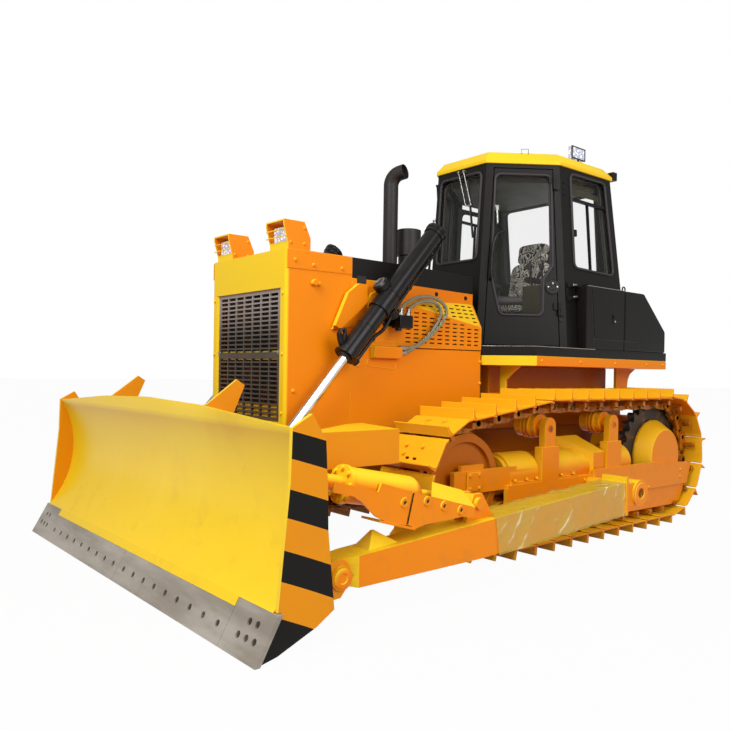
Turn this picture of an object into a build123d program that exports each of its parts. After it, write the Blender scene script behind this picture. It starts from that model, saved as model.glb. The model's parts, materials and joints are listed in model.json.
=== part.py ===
"""Crawler bulldozer with a straight tilt blade.

Millimetres. +X points forward to the blade, +Y to the machine's left and +Z up.
The ground is z = 0. The origin is under the middle of the machine's box.
Each sub-part is written as parts/NODE.step.
"""
from build123d import *
import os
from math import acos, atan2, cos, hypot, pi, radians, sin, sqrt

# Running gap round what moves, and the small gap between curved faces
GAP = 5.0
SEAT = 0.3

# Tracks: side distance of each track, shoes and chain
TRACK_Y = 940.0
SHOE_W = 510.0
SHOE_PITCH = 203.2
SHOE_L = 188.0
SHOE_T = 12.0
GROUSER_H = 65.0
GROUSER_T = 20.0
GROUSER_DRAFT = 4.0
SHOE_BITE = 4.0
LINK_OUT = 57.0
LINK_IN = 45.0
RAIL_NEAR = 52.0
RAIL_FAR = 100.0
IDLER_X, IDLER_Z, IDLER_PIN_R = 657.0, 545.0, 360.0
SPROCKET_X, SPROCKET_Z, SPROCKET_PIN_R = -1743.0, 575.0, 440.0
SPROCKET_TEETH = 27
SHOE_START = 22.6
IDLER_HUB_R = 42.0
ROLLER_R = 100.0
ROLLER_SHAFT_R = 38.0
ROLLER_FRONT_X, ROLLER_REAR_X, ROLLER_COUNT = 284.0, -1235.0, 6
CARRIER_R = 85.0
CARRIER_XS = (-143.0, -953.0)
CARRIER_PIN_Z = 1016.0
PIN_Z = LINK_OUT + SHOE_T + GROUSER_H

# Track frame
FRAME_Y_IN, FRAME_Y_OUT = TRACK_Y - 160.0, TRACK_Y + 180.0
FRAME_Z1, FRAME_TOP = 475.0, 495.0
FRAME_WALL = 30.0
TUBE_R, COVER_R = 140.0, 156.0
FRAME_FRONT, FRAME_REAR = 330.0, -1285.0
POST_HALF, POST_NECK, POST_DEPTH, POST_STEP = 99.0, 62.0, 70.0, 738.0
FORK_HALF, FORK_REACH = 75.0, 150.0
DRIVE_IN, DRIVE_R, DRIVE_CAP_R, DRIVE_STEP = 560.0, 300.0, 225.0, 60.0
WHEEL_HALF = 34.0

# Hood, radiator guard and their panels
HOOD_FRONT = 1704.0
HOOD_REAR = -62.0
HOOD_SEAM = 1197.0
HOOD_HALF, HOOD_REAR_HALF = 490.0, 388.0
HOOD_TOP = 2018.0
HOOD_LIP_Z, HOOD_END_T = 1880.0, 30.0
SHEET = 12.0
GUARD_WALL = 40.0
GUARD_Z0 = 820.0
GRILLE_HALF = 408.0
GRILLE_Z0, GRILLE_Z1 = 933.0, 1775.0
GRILLE_T = 12.0
PLATE_Z0, PLATE_Z1 = 830.0, 1445.0
VENT_X1 = 735.0
VENT_KNEES, VENT_SHOULDERS = (1616.0, 1748.0), (1801.0, 1772.0)
SLOT_PITCH, SLOT_L, SLOT_H = (78.0, 30.0), 50.0, 10.0

LAMP_YS, LAMP_XS, LAMP_TOP = (250.0, 470.0), (1513.0, 1712.0), 2200.0
EXHAUST_X, EXHAUST_TOP, EXHAUST_R = 469.0, 2785.0, 57.0
EXHAUST_BEND, EXHAUST_TURN, EXHAUST_REACH = 95.0, 80.0, 125.0

# Deck, cab, tank and side boxes
DECK_MARGIN = 75.0
DECK_FRONT, DECK_CORNER_X, DECK_REAR = -70.0, -298.0, -2198.0
DECK_Z0, DECK_MID, DECK_Z1 = 1325.0, 1402.0, 1476.0
CAB_TOP = 2984.0
CAB_WALL = 60.0
CAB_FOOT = ((-205.0, 293.0), (-798.0, 761.0), (-1652.0, 775.0))
CAB_HEAD = ((-308.0, 286.0), (-782.0, 660.0), (-1493.0, 672.0))
DECK_HALF = CAB_FOOT[2][1] + DECK_MARGIN
ROOF_H = 106.0
BOX_TOP = 1998.0
BOX_FRONT, TANK_FRONT, TANK_KNEE_X, TANK_REAR = -934.0, -1490.0, -1806.0, -2178.0
TANK_KNEE_Z = 1672.0
GLASS_T = 6.0

# Push arms beside the tracks, and the blade across both
ARM_GAP, ARM_W, BLADE_PAST_ARM, TIP_OUT = 175.0, 190.0, 90.0, 44.0
ARM_Y0 = TRACK_Y + SHOE_W / 2 + ARM_GAP
ARM_Y1 = ARM_Y0 + ARM_W

# Blade, in the side view
BLADE_HALF = ARM_Y1 + BLADE_PAST_ARM
TIP_HALF = BLADE_HALF + TIP_OUT
BLADE_TOP = (2382.0, 1005.0)
BLADE_FOOT = (2459.0, 206.0)
BLADE_TIP = (2570.0, 0.0)
BLADE_SAG = 130.0
BLADE_T = 22.0
CROWN = ((0.0, 1085.0), (706.0, 1068.0), (BLADE_HALF, 1005.0))
END_T = 25.0
EDGE_T, EDGE_GAP = 28.0, 1.5
EDGE_H, END_BIT_H, END_BIT_W = 165.0, 205.0, 300.0
FIN_Y, FIN_T = 712.0, 18.0

# Push arms and their trunnions
PIVOT = (-629.0, 413.0)
TRUNNION_R, TRUNNION_DEPTH = 70.0, 90.0
ARM_CAP_R = 95.0
ARM_FRONT = (2059.0, 276.0)
LUG_T = 35.0
TILT_Y, TILT_ROD_R, TILT_R, TILT_FLANGE_R = ARM_Y0 + 70.0, 32.0, 92.0, 100.0
TILT_FRONT, TILT_REAR = (2150.0, 735.0), (1023.0, 509.0)
TILT_EYE_R, TILT_EYE_HALF, TILT_LUG_T = 48.0, 31.0, 30.0

# Lift cylinders
LIFT_Y = 620.0
LIFT_T = (1022.0, 1720.0)
LIFT_EYE = (2032.0, 555.0)
BARREL_R, BARREL_UP, BARREL_DOWN = 66.0, 705.0, 485.0
ROD_R = 32.0
BORE_R, BORE_END, GLAND_L = 52.0, 12.0, 60.0
PISTON_AT, PISTON_L = 38.0, 30.0


def box(x0, x1, y0, y1, z0, z1):
    """Block from its six faces."""
    block = Box(x1 - x0, y1 - y0, z1 - z0)
    return Pos((x0 + x1) / 2, (y0 + y1) / 2, (z0 + z1) / 2) * block


def bar(start, end, radius):
    """Round bar between two points."""
    axis = Vector(*end) - Vector(*start)
    solid = Cylinder(radius, axis.length, align=(Align.CENTER, Align.CENTER, Align.MIN))
    return Plane(origin=start, z_dir=axis) * solid


def across(x, z, radius, y0, y1):
    """Round bar along Y."""
    return bar((x, y0, z), (x, y1, z), radius)


def outline(points, radius=0.0):
    """Flat face from its corner points, with one corner radius."""
    face = make_face(Polyline(*points, close=True))
    if radius:
        face = fillet(face.vertices(), radius)
    return face


def slab(plane, face, start, end):
    """A face pushed along its plane's normal from start to end."""
    return extrude(plane.offset(start) * face, amount=end - start, dir=plane.z_dir)


SIDE = Plane(origin=(0, 0, 0), x_dir=(1, 0, 0), z_dir=(0, -1, 0))
FRONT = Plane(origin=(0, 0, 0), x_dir=(0, 1, 0), z_dir=(1, 0, 0))


def side_plate(points, y0, y1, radius=0.0):
    """Plate in the XZ plane between two Y values."""
    return slab(SIDE, outline(points, radius), -y1, -y0)


def front_plate(points, x0, x1, radius=0.0):
    """Plate in the YZ plane between two X values."""
    return slab(FRONT, outline(points, radius), x0, x1)


def flat_plate(points, z0, z1, radius=0.0):
    """Plate in the XY plane between two heights."""
    return slab(Plane.XY, outline(points, radius), z0, z1)


def right(solid):
    """The same piece on the machine's right."""
    return mirror(solid, about=Plane.XZ)


def pair(solid):
    """A left piece and its right twin."""
    return Compound(children=[solid.solids()[0], right(solid).solids()[0]])


def group(pieces):
    """Pieces that stand apart, in one node."""
    solids = []
    for piece in pieces:
        solids += list(piece.solids())
    return Compound(children=solids)


# Tracks

def track_circles():
    """Circles that the pin line goes round, from the front carrier to the rear and down: x, z, radius."""
    roller, carrier = ROLLER_R + LINK_IN, CARRIER_R + LINK_IN
    return [*[(x, CARRIER_PIN_Z - carrier, carrier) for x in CARRIER_XS],
            (SPROCKET_X, SPROCKET_Z, SPROCKET_PIN_R),
            *[(x, PIN_Z + roller, roller) for x in (ROLLER_REAR_X, ROLLER_FRONT_X)],
            (IDLER_X, IDLER_Z, IDLER_PIN_R)]


def run_between(first, second):
    """Straight run from one circle to the next: the angle of its outward normal, and its length."""
    (x1, z1, r1), (x2, z2, r2) = first, second
    span = hypot(x2 - x1, z2 - z1)
    return atan2(z2 - z1, x2 - x1) - acos((r1 - r2) / span), sqrt(span ** 2 - (r1 - r2) ** 2)


def track_stretches():
    """The pin line in order, as arcs: centre, radius, first angle, turn, and the straight run after it."""
    circles = track_circles()
    stretches = []
    for i, (x, z, r) in enumerate(circles):
        before, _ = run_between(circles[i - 1], circles[i])
        after, run = run_between(circles[i], circles[(i + 1) % len(circles)])
        stretches.append((x, z, r, before, (after - before) % (2 * pi), run))
    return stretches


def track_place(distance):
    """Point on the pin line and the heading there, this far past the front carrier's top."""
    stretches = track_stretches()
    x, z, r, first, turn, run = stretches[0]
    stretches = [(x, z, r, first + turn, 0, run), *stretches[1:], (x, z, r, first, turn, 0)]
    for x, z, r, first, turn, run in stretches:
        if distance <= turn * r:
            angle = first + distance / r
            return x + r * cos(angle), z + r * sin(angle), angle + pi / 2
        distance -= turn * r
        angle = first + turn
        if distance <= run:
            return (x + r * cos(angle) - distance * sin(angle),
                    z + r * sin(angle) + distance * cos(angle), angle + pi / 2)
        distance -= run
    return track_place(distance)


def loop_face(reach):
    """Closed band line round the track, at a distance from the pin line."""
    edges = [(Pos(x, z) * Circle(r + reach)).edge() for x, z, r in track_circles()]
    return make_face(make_hull(edges))


def shoe_places():
    """Where each shoe stands on the loop: x, z and heading."""
    length = sum(turn * r + run for _, _, r, _, turn, run in track_stretches())
    count = round(length / SHOE_PITCH)
    print("track shoes", count, "loop", round(length))
    return [track_place(SHOE_START + i * length / count) for i in range(count)]


def chain_face():
    """Side view of the chain: a flat under each shoe outside, the smooth loop inside."""
    flats = []
    for x, z, heading in shoe_places():
        for along in (-SHOE_L / 2, SHOE_L / 2):
            flats.append((x + along * cos(heading) + LINK_OUT * sin(heading),
                          z + along * sin(heading) - LINK_OUT * cos(heading)))
    return outline(flats) - loop_face(-LINK_IN)


def make_shoe(side_y, place):
    """One shoe with its grouser, standing on the links."""
    low, high, half = LINK_OUT - SHOE_BITE, LINK_OUT + SHOE_T, SHOE_L / 2
    profile = outline([(-half, low), (half, low), (half, high), (-half + GROUSER_T, high),
                       (-half + GROUSER_T - GROUSER_DRAFT, high + GROUSER_H),
                       (-half + GROUSER_DRAFT, high + GROUSER_H), (-half, high)])
    x, z, heading = place
    plane = Plane(origin=(x, side_y + SHOE_W / 2, z), x_dir=(cos(heading), 0, sin(heading)),
                  z_dir=(0, 1, 0))
    return slab(plane, profile, -SHOE_W, 0)


def make_track(side_y):
    ring = chain_face()
    rails = [slab(SIDE, ring, -side_y + y0, -side_y + y1)
             for y0, y1 in ((RAIL_NEAR, RAIL_FAR), (-RAIL_FAR, -RAIL_NEAR))]
    shoes = [make_shoe(side_y, place) for place in shoe_places()]
    return rails[0].fuse(rails[1], *shoes)


def make_idler():
    rim_r = IDLER_PIN_R - LINK_IN - SEAT
    disc = across(IDLER_X, IDLER_Z, rim_r, TRACK_Y - RAIL_FAR, TRACK_Y + RAIL_FAR)
    flange = across(IDLER_X, IDLER_Z, rim_r + 22, TRACK_Y - RAIL_NEAR + 8, TRACK_Y + RAIL_NEAR - 8)
    hub = across(IDLER_X, IDLER_Z, IDLER_HUB_R, TRACK_Y - 150, TRACK_Y + 150)
    dish = across(IDLER_X, IDLER_Z, rim_r - 55, TRACK_Y + 70, TRACK_Y + RAIL_FAR + 1)
    dish2 = across(IDLER_X, IDLER_Z, rim_r - 55, TRACK_Y - RAIL_FAR - 1, TRACK_Y - 70)
    return disc - dish - dish2 + flange + hub


def make_sprocket():
    root_r = SPROCKET_PIN_R - 36
    tip_r = SPROCKET_PIN_R + 10
    step = 360 / SPROCKET_TEETH
    points = []
    for i in range(SPROCKET_TEETH):
        for turn, radius in ((-0.34, root_r), (-0.14, tip_r), (0.14, tip_r), (0.34, root_r)):
            angle = radians((i + turn) * step)
            points.append((SPROCKET_X + radius * cos(angle), SPROCKET_Z + radius * sin(angle)))
    return side_plate(points, TRACK_Y - WHEEL_HALF, TRACK_Y + WHEEL_HALF)


def make_roller(x):
    z = PIN_Z + LINK_IN + ROLLER_R
    solid = across(x, z, ROLLER_R - SEAT, TRACK_Y - 110, TRACK_Y + 110)
    middle = across(x, z, ROLLER_R + 18, TRACK_Y - 44, TRACK_Y + 44)
    shaft = across(x, z, ROLLER_SHAFT_R, FRAME_Y_IN, FRAME_Y_OUT)
    return solid + middle + shaft


def carrier_z():
    return CARRIER_PIN_Z - LINK_IN - CARRIER_R


def make_carrier(x):
    """Carrier roller on its shaft, and the stepped post that holds the shaft's outer end."""
    z = carrier_z()
    roller = across(x, z, CARRIER_R - SEAT, TRACK_Y - 105, TRACK_Y + 85)
    collars = [across(x, z, CARRIER_R + 12, TRACK_Y + y - 7, TRACK_Y + y + 7) for y in (-30, 0, 30)]
    y0, y1 = FRAME_Y_OUT - POST_DEPTH, FRAME_Y_OUT
    shaft = across(x, z, 45, TRACK_Y, y0 + 10)
    base = box(x - POST_HALF, x + POST_HALF, y0, y1, FRAME_TOP, POST_STEP)
    neck = box(x - POST_NECK, x + POST_NECK, y0 + 8, y1 - 6, POST_STEP - 1, z)
    head = across(x, z, POST_NECK, y0 + 8, y1 - 6)
    return roller.fuse(*collars, shaft, base, neck, head)


def recoil_cover(x0, x1):
    """Half-round cover over the recoil spring, with straight skirts and bolting flanges."""
    top = bar((x0, TRACK_Y, IDLER_Z), (x1, TRACK_Y, IDLER_Z), COVER_R)
    low = FRAME_TOP - 1
    top -= box(x0 - 1, x1 + 1, FRAME_Y_IN, FRAME_Y_OUT, 0, low)
    skirt = box(x0, x1, TRACK_Y - COVER_R, TRACK_Y + COVER_R, low, IDLER_Z)
    flange = box(x0, x1, TRACK_Y - COVER_R, TRACK_Y + COVER_R + 16, low, FRAME_TOP + 14)
    return top + skirt + flange


def make_saddle():
    """Tapered bracket over the equalizer's end, against the rear post."""
    sections = []
    for y, x, width, height in ((TRACK_Y - 60, -640, 260, 285), (FRAME_Y_OUT - 20, -775, 150, 165)):
        plane = Plane(origin=(x, y, FRAME_TOP - 1 + height / 2), x_dir=(1, 0, 0), z_dir=(0, 1, 0))
        sections.append(plane * Rectangle(width, height))
    return loft(sections, ruled=True)


def make_track_frame():
    """Two side rails under a top plate, recoil covers, the idler's fork and the sprocket's side plates."""
    y_in, y_out = FRAME_Y_IN, FRAME_Y_OUT
    roller_z = PIN_Z + LINK_IN + ROLLER_R
    fork_z0, fork_z1 = IDLER_Z - FORK_HALF, IDLER_Z + FORK_HALF
    outer = box(FRAME_REAR, FRAME_FRONT, y_out - FRAME_WALL, y_out, roller_z - 30, FRAME_Z1)
    inner = box(FRAME_REAR, FRAME_FRONT, y_in, y_in + FRAME_WALL, roller_z - 30, FRAME_Z1)
    top = box(FRAME_REAR, FRAME_FRONT - 15, y_in, y_out, FRAME_Z1, FRAME_TOP)
    tube = bar((FRAME_REAR + 300, TRACK_Y, IDLER_Z), (300, TRACK_Y, IDLER_Z), TUBE_R)
    covers = [recoil_cover(x0, x1) for x0, x1 in ((-40, 268), (-480, -246), (-1240, -1056))]
    fork = [box(200, IDLER_X + FORK_REACH, y, y + 38, fork_z0, fork_z1)
            for y in (TRACK_Y + 112, TRACK_Y - 150)]
    caps = [box(IDLER_X - 130, IDLER_X + 80, y, y + 30, fork_z1 - 1, fork_z1 + 36)
            for y in (TRACK_Y + 114, TRACK_Y - 144)]
    bridge = box(200, 280, TRACK_Y - 150, TRACK_Y + 150, FRAME_TOP - 1, fork_z1)
    guard = side_plate([(-667, 330), (-667, 535), (-1590, 535), (-2148, 493), (-2086, 313), (-1200, 313)],
                       y_out, y_out + 20)
    low = side_plate([(-1170, 330), (-1170, 150), (-1850, 141), (-1985, 170), (-2045, 250), (-2060, 330)],
                     y_out - 16, y_out)
    body = top.fuse(outer, inner, tube, *covers, *fork, *caps, bridge, guard, low, make_saddle())
    for x in roller_xs():
        body -= across(x, roller_z, ROLLER_SHAFT_R + SEAT, y_in - 1, y_out + 1)
    for x in CARRIER_XS:
        body -= box(x - POST_HALF - SEAT, x + POST_HALF + SEAT, y_out - POST_DEPTH - SEAT, y_out,
                    FRAME_TOP, POST_STEP + 1)
    return body - across(IDLER_X, IDLER_Z, IDLER_HUB_R + SEAT, y_in - 1, y_out + 1)


def roller_xs():
    step = (ROLLER_FRONT_X - ROLLER_REAR_X) / (ROLLER_COUNT - 1)
    return [ROLLER_FRONT_X - i * step for i in range(ROLLER_COUNT)]


def frustum(x, z, r0, r1, y0, y1):
    """Round taper along Y."""
    cone = Cone(r0, r1, y1 - y0, align=(Align.CENTER, Align.CENTER, Align.MIN))
    return Plane(origin=(x, y0, z), z_dir=(0, 1, 0)) * cone


def make_final_drive():
    """Gear housing inside the sprocket and the tapered cover outside it."""
    inside = across(SPROCKET_X, SPROCKET_Z, DRIVE_R + 30, DRIVE_IN, TRACK_Y - WHEEL_HALF - SEAT)
    step, end = TRACK_Y + DRIVE_STEP, FRAME_Y_OUT - SEAT
    cover = across(SPROCKET_X, SPROCKET_Z, DRIVE_R, TRACK_Y + WHEEL_HALF + SEAT, step)
    cap = frustum(SPROCKET_X, SPROCKET_Z, DRIVE_R, DRIVE_CAP_R, step, end)
    return inside, cover + cap


def make_pivot_stub():
    """Trunnion stub that carries the push arm, fixed to the track frame."""
    x, z = PIVOT
    return across(x, z, TRUNNION_R, FRAME_Y_OUT, ARM_Y0 + TRUNNION_DEPTH - GAP)


# Hood

def make_radiator_guard():
    x0 = HOOD_SEAM
    shell = box(x0, HOOD_FRONT, -HOOD_HALF, HOOD_HALF, GUARD_Z0, HOOD_TOP)
    room = box(x0 - 1, HOOD_FRONT - 60, -HOOD_HALF + GUARD_WALL, HOOD_HALF - GUARD_WALL,
               GUARD_Z0 + 50, HOOD_TOP - GUARD_WALL)
    window = box(HOOD_FRONT - 61, HOOD_FRONT + 1, -GRILLE_HALF, GRILLE_HALF, GRILLE_Z0, GRILLE_Z1)
    return fillet((shell - room - window).edges().filter_by(Axis.Z).group_by(Axis.X)[-1], 25)


def make_grille(columns=7, rows=27):
    """Bars of the grille, with one row left whole across the middle."""
    x1 = HOOD_FRONT - 12
    plate = box(x1 - GRILLE_T, x1, -GRILLE_HALF, GRILLE_HALF, GRILLE_Z0, GRILLE_Z1)
    pitch_y = (2 * GRILLE_HALF - 40) / columns
    pitch_z = (GRILLE_Z1 - GRILLE_Z0 - 40) / rows
    slots = []
    for i in range(columns):
        y = -GRILLE_HALF + 20 + (i + 0.5) * pitch_y
        for j in range(rows):
            if j == rows // 2:
                continue
            z = GRILLE_Z0 + 20 + (j + 0.5) * pitch_z
            slots.append(box(x1 - 20, x1 + 5, y - pitch_y * 0.44, y + pitch_y * 0.44,
                             z - pitch_z * 0.32, z + pitch_z * 0.32))
    return plate.cut(*slots)


def hood_half(x):
    """Half width of the hood's top, which narrows towards the cab behind the vent's front edge."""
    share = min(1.0, (x - HOOD_REAR) / (VENT_X1 - HOOD_REAR))
    return HOOD_REAR_HALF + (HOOD_HALF - HOOD_REAR_HALF) * share


def hood_plan(rear, front, inset):
    return ring_points([(x, hood_half(x) - inset) for x in (front, VENT_X1, rear)])


def make_hood_top():
    outer = flat_plate(hood_plan(HOOD_REAR, HOOD_SEAM, 0), HOOD_LIP_Z, HOOD_TOP)
    room = hood_plan(HOOD_REAR + HOOD_END_T, HOOD_SEAM + 1, SHEET)
    return outer - flat_plate(room, HOOD_LIP_Z - 1, HOOD_TOP - SHEET)


def make_side_plates():
    """Side sheet, low behind and up to the hood's lip ahead of the vented panel."""
    low = box(HOOD_REAR, HOOD_SEAM, HOOD_HALF - SHEET, HOOD_HALF, PLATE_Z0, PLATE_Z1)
    high = box(VENT_X1, HOOD_SEAM, HOOD_HALF - SHEET, HOOD_HALF, PLATE_Z1, HOOD_LIP_Z)
    return low + high


def make_vent_panel():
    """Vented sheet: upright below a knee, then leaning in to a shoulder under the hood's top."""
    sections = []
    for x, knee, shoulder in zip((HOOD_REAR, VENT_X1), VENT_KNEES, VENT_SHOULDERS):
        top = hood_half(x)
        line = [(HOOD_HALF, PLATE_Z1), (HOOD_HALF, knee), (top, shoulder), (top, HOOD_LIP_Z)]
        inner = [(y - SHEET, z) for y, z in reversed(line)]
        sections.append(FRONT.offset(x) * outline(line + inner))
    return loft(sections, ruled=True).cut(*vent_slots())


def vent_slots():
    """Rows of slots, each kept off the knee and the shoulder."""
    slots = []
    columns = int((VENT_X1 - HOOD_REAR) / SLOT_PITCH[0])
    for i in range(columns):
        x = HOOD_REAR + SLOT_PITCH[0] * (i + 0.7)
        share = (x - HOOD_REAR) / (VENT_X1 - HOOD_REAR)
        knee, shoulder = (a + (b - a) * share for a, b in (VENT_KNEES, VENT_SHOULDERS))
        z = PLATE_Z1 + SLOT_PITCH[1]
        while z < shoulder - SLOT_PITCH[1] * 0.6:
            if abs(z - knee) > SLOT_PITCH[1] * 0.6:
                slots.append(box(x - SLOT_L / 2, x + SLOT_L / 2, HOOD_REAR_HALF - SHEET, HOOD_HALF + 1,
                                 z - SLOT_H / 2, z + SLOT_H / 2))
            z += SLOT_PITCH[1]
    return slots


def make_exhaust():
    """Stack with a bent mouth that opens to the left and a little to the rear."""
    foot = Vector(EXHAUST_X, 0, HOOD_TOP)
    corner = Vector(EXHAUST_X, 0, EXHAUST_TOP)
    turn = radians(EXHAUST_TURN)
    mouth_dir = Vector(-0.35, 0.937, 0) * sin(turn) + Vector(0, 0, cos(turn))
    mouth = corner + mouth_dir * EXHAUST_REACH
    path = FilletPolyline(foot, corner, mouth, radius=EXHAUST_BEND)
    pipe = sweep(Plane(origin=foot, z_dir=(0, 0, 1)) * Circle(EXHAUST_R), path=path)
    return pipe - bar(mouth - mouth_dir * 30, mouth + mouth_dir, EXHAUST_R - 5)


def make_precleaner():
    stem = bar((275, 0, HOOD_TOP), (275, 0, 2200), 84)
    bowl = bar((275, 0, 2180), (275, 0, 2390), 95)
    return stem + bowl


def make_lamp_guard():
    """Hooded bracket that stands on the guard's top and shields a head lamp."""
    (y0, y1), (x0, x1), top = LAMP_YS, LAMP_XS, LAMP_TOP
    body = side_plate([(x0, HOOD_TOP), (x0, HOOD_TOP + 80), (x0 + 47, top), (x1, top), (x1, top - 30),
                       (x1 - 32, HOOD_TOP + 35), (x1 - 32, HOOD_TOP)], y0, y1)
    return body - box(x0 + 77, x1 + 1, y0 + SHEET, y1 - SHEET, HOOD_TOP + 50, top - SHEET)


def make_lamp():
    (y0, y1), x0 = LAMP_YS, LAMP_XS[0] + 77
    return box(x0, x0 + 80, y0 + 30, y1 - 30, HOOD_TOP + 50, LAMP_TOP - 35)


# Cab

def ring_points(half):
    """Six plan corners from the three on the left."""
    return [*half, *[(x, -y) for x, y in reversed(half)]]


def cab_solid(inset=0.0, z0=DECK_Z1, z1=CAB_TOP):
    """Cab body between two heights, its walls set in by a distance."""
    def at(z):
        share = (z - DECK_Z1) / (CAB_TOP - DECK_Z1)
        half = [(a[0] + (b[0] - a[0]) * share, a[1] + (b[1] - a[1]) * share)
                for a, b in zip(CAB_FOOT, CAB_HEAD)]
        face = outline(ring_points(half))
        if inset:
            face = offset(face, amount=-inset, kind=Kind.INTERSECTION)
        return Plane.XY.offset(z) * face
    return loft([at(z0), at(z1)], ruled=True)


def wall_plane(foot, foot2, head):
    """Plane on a cab wall: x runs from foot to foot2, y up the wall, z outwards."""
    origin = Vector(foot[0], foot[1], DECK_Z1)
    along = Vector(foot2[0], foot2[1], DECK_Z1) - origin
    up = Vector(head[0], head[1], CAB_TOP) - origin
    return Plane(origin=origin, x_dir=along, z_dir=along.cross(up))


DOOR = wall_plane(CAB_FOOT[0], CAB_FOOT[1], CAB_HEAD[0])
REAR_SIDE = wall_plane(CAB_FOOT[1], CAB_FOOT[2], CAB_HEAD[1])
FRONT_WALL = wall_plane((CAB_FOOT[0][0], -CAB_FOOT[0][1]), CAB_FOOT[0], (CAB_HEAD[0][0], -CAB_HEAD[0][1]))
REAR_WALL = wall_plane(CAB_FOOT[2], (CAB_FOOT[2][0], -CAB_FOOT[2][1]), CAB_HEAD[2])

# Wall outlines, in each wall's own plane: across, then up
DOOR_HOLE = [(60, 14), (695, 14), (628, 1478), (136, 1478)]
DOOR_WINDOW = [(150, 1425), (612, 1425), (630, 675), (554, 564), (550, 266), (194, 266), (123, 580)]
SIDE_WINDOW = [(121, 1472), (605, 1472), (689, 662), (131, 680)]
FRONT_WINDOW = [(55, 1450), (531, 1450), (531, 720), (55, 720)]
REAR_WINDOW = [(230, 1420), (1320, 1420), (1320, 700), (230, 700)]
WINDOW_R = 55.0
DOOR_T = 42.0
HINGE_OUT, KNUCKLE_R, HINGE_PIN_R = 22.0, 12.0, 6.0
HINGE_HEIGHTS = (250.0, 1290.0)
KNUCKLE_L = 50.0


def hinge_line():
    """Ends of the left door's hinge line, foot first, outside the middle pillar."""
    (foot, low), (head, high) = DOOR_HOLE[1], DOOR_HOLE[2]
    return [DOOR.from_local_coords((x, y, HINGE_OUT)) for x, y in ((foot, low), (head, high))]


def hinge_piece(side, start, end):
    """Knuckle and leaf plate of a door hinge between two heights: side 1 on the pillar, -1 on the door."""
    foot, head = hinge_line()
    axis = (head - foot).normalized()
    knuckle = bar(foot + axis * start, foot + axis * end, KNUCKLE_R)
    plane = Plane(origin=foot, x_dir=DOOR.x_dir - axis * axis.dot(DOOR.x_dir), z_dir=DOOR.z_dir)
    face = outline([(2 * side, start), (42 * side, start), (42 * side, end), (2 * side, end)])
    return knuckle + slab(plane, face, -HINGE_OUT - 4, -KNUCKLE_R / 2)


def make_cab_shell():
    outer = cab_solid()
    room = cab_solid(CAB_WALL, DECK_Z1 + 40, CAB_TOP)
    shell = outer - room
    holes = []
    for plane, points in ((REAR_SIDE, SIDE_WINDOW), (FRONT_WALL, FRONT_WINDOW), (REAR_WALL, REAR_WINDOW)):
        hole = slab(plane, outline(points, WINDOW_R), -150, 50)
        holes.append(hole)
        if plane is REAR_SIDE:
            holes.append(right(hole))
    door = slab(DOOR, outline(DOOR_HOLE), -110, 50)
    shell = shell.cut(*holes, door, right(door))
    foot, head = hinge_line()
    axis = (head - foot).normalized()
    for height in HINGE_HEIGHTS:
        pin = bar(foot + axis * height, foot + axis * (height + 2 * KNUCKLE_L), HINGE_PIN_R)
        knuckle = hinge_piece(1, height, height + KNUCKLE_L) + pin
        shell = shell.fuse(knuckle, right(knuckle))
    return shell


def make_cab_glass():
    panes = [slab(FRONT_WALL, outline(FRONT_WINDOW, WINDOW_R), -30, -30 + GLASS_T),
             slab(REAR_WALL, outline(REAR_WINDOW, WINDOW_R), -30, -30 + GLASS_T)]
    side = slab(REAR_SIDE, outline(SIDE_WINDOW, WINDOW_R), -30, -30 + GLASS_T)
    return group([*panes, side, right(side)])


def make_roof():
    """Roof cap: a chamfered slab over the pillars' heads, with a lip outside them."""
    foot = offset(outline(ring_points(CAB_HEAD)), amount=16, kind=Kind.INTERSECTION)
    top = offset(outline(ring_points(CAB_HEAD)), amount=-45, kind=Kind.INTERSECTION)
    lower = extrude(Plane.XY.offset(CAB_TOP) * foot, amount=30)
    upper = loft([Plane.XY.offset(CAB_TOP + 30) * foot, Plane.XY.offset(CAB_TOP + ROOF_H) * top], ruled=True)
    return lower + upper


def make_door():
    leaf = offset(outline(DOOR_HOLE), amount=-7, kind=Kind.INTERSECTION)
    solid = slab(DOOR, leaf, -DOOR_T, 0)
    solid -= slab(DOOR, outline(DOOR_WINDOW, WINDOW_R), -DOOR_T - 1, 1)
    foot, head = hinge_line()
    axis = (head - foot).normalized()
    for height in HINGE_HEIGHTS:
        start, end = height + KNUCKLE_L + SEAT, height + 2 * KNUCKLE_L + 6
        solid += hinge_piece(-1, start, end)
        solid -= bar(foot + axis * (start - 1), foot + axis * (end - 4), HINGE_PIN_R + SEAT)
    return solid


def make_door_glass():
    return slab(DOOR, outline(DOOR_WINDOW, WINDOW_R), -DOOR_T / 2 - GLASS_T / 2, -DOOR_T / 2 + GLASS_T / 2)


def make_seat():
    base = box(-1230, -800, -250, 250, DECK_Z1 + 40, DECK_Z1 + 300)
    cushion = box(-1270, -760, -260, 260, DECK_Z1 + 300, DECK_Z1 + 440)
    back = side_plate([(-1270, DECK_Z1 + 440), (-1150, DECK_Z1 + 440), (-1240, DECK_Z1 + 1020),
                       (-1350, DECK_Z1 + 1020)], -250, 250)
    return base + cushion + back


def make_consoles():
    z = DECK_Z1 + 40
    dash = box(-500, -330, -200, 200, z, z + 520)
    left = box(-1150, -760, 300, 520, z, z + 500)
    return group([dash, left, right(left)])


def deck_plan():
    return ring_points([(DECK_FRONT, HOOD_HALF), (DECK_CORNER_X, DECK_HALF), (DECK_REAR, DECK_HALF)])


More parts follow.
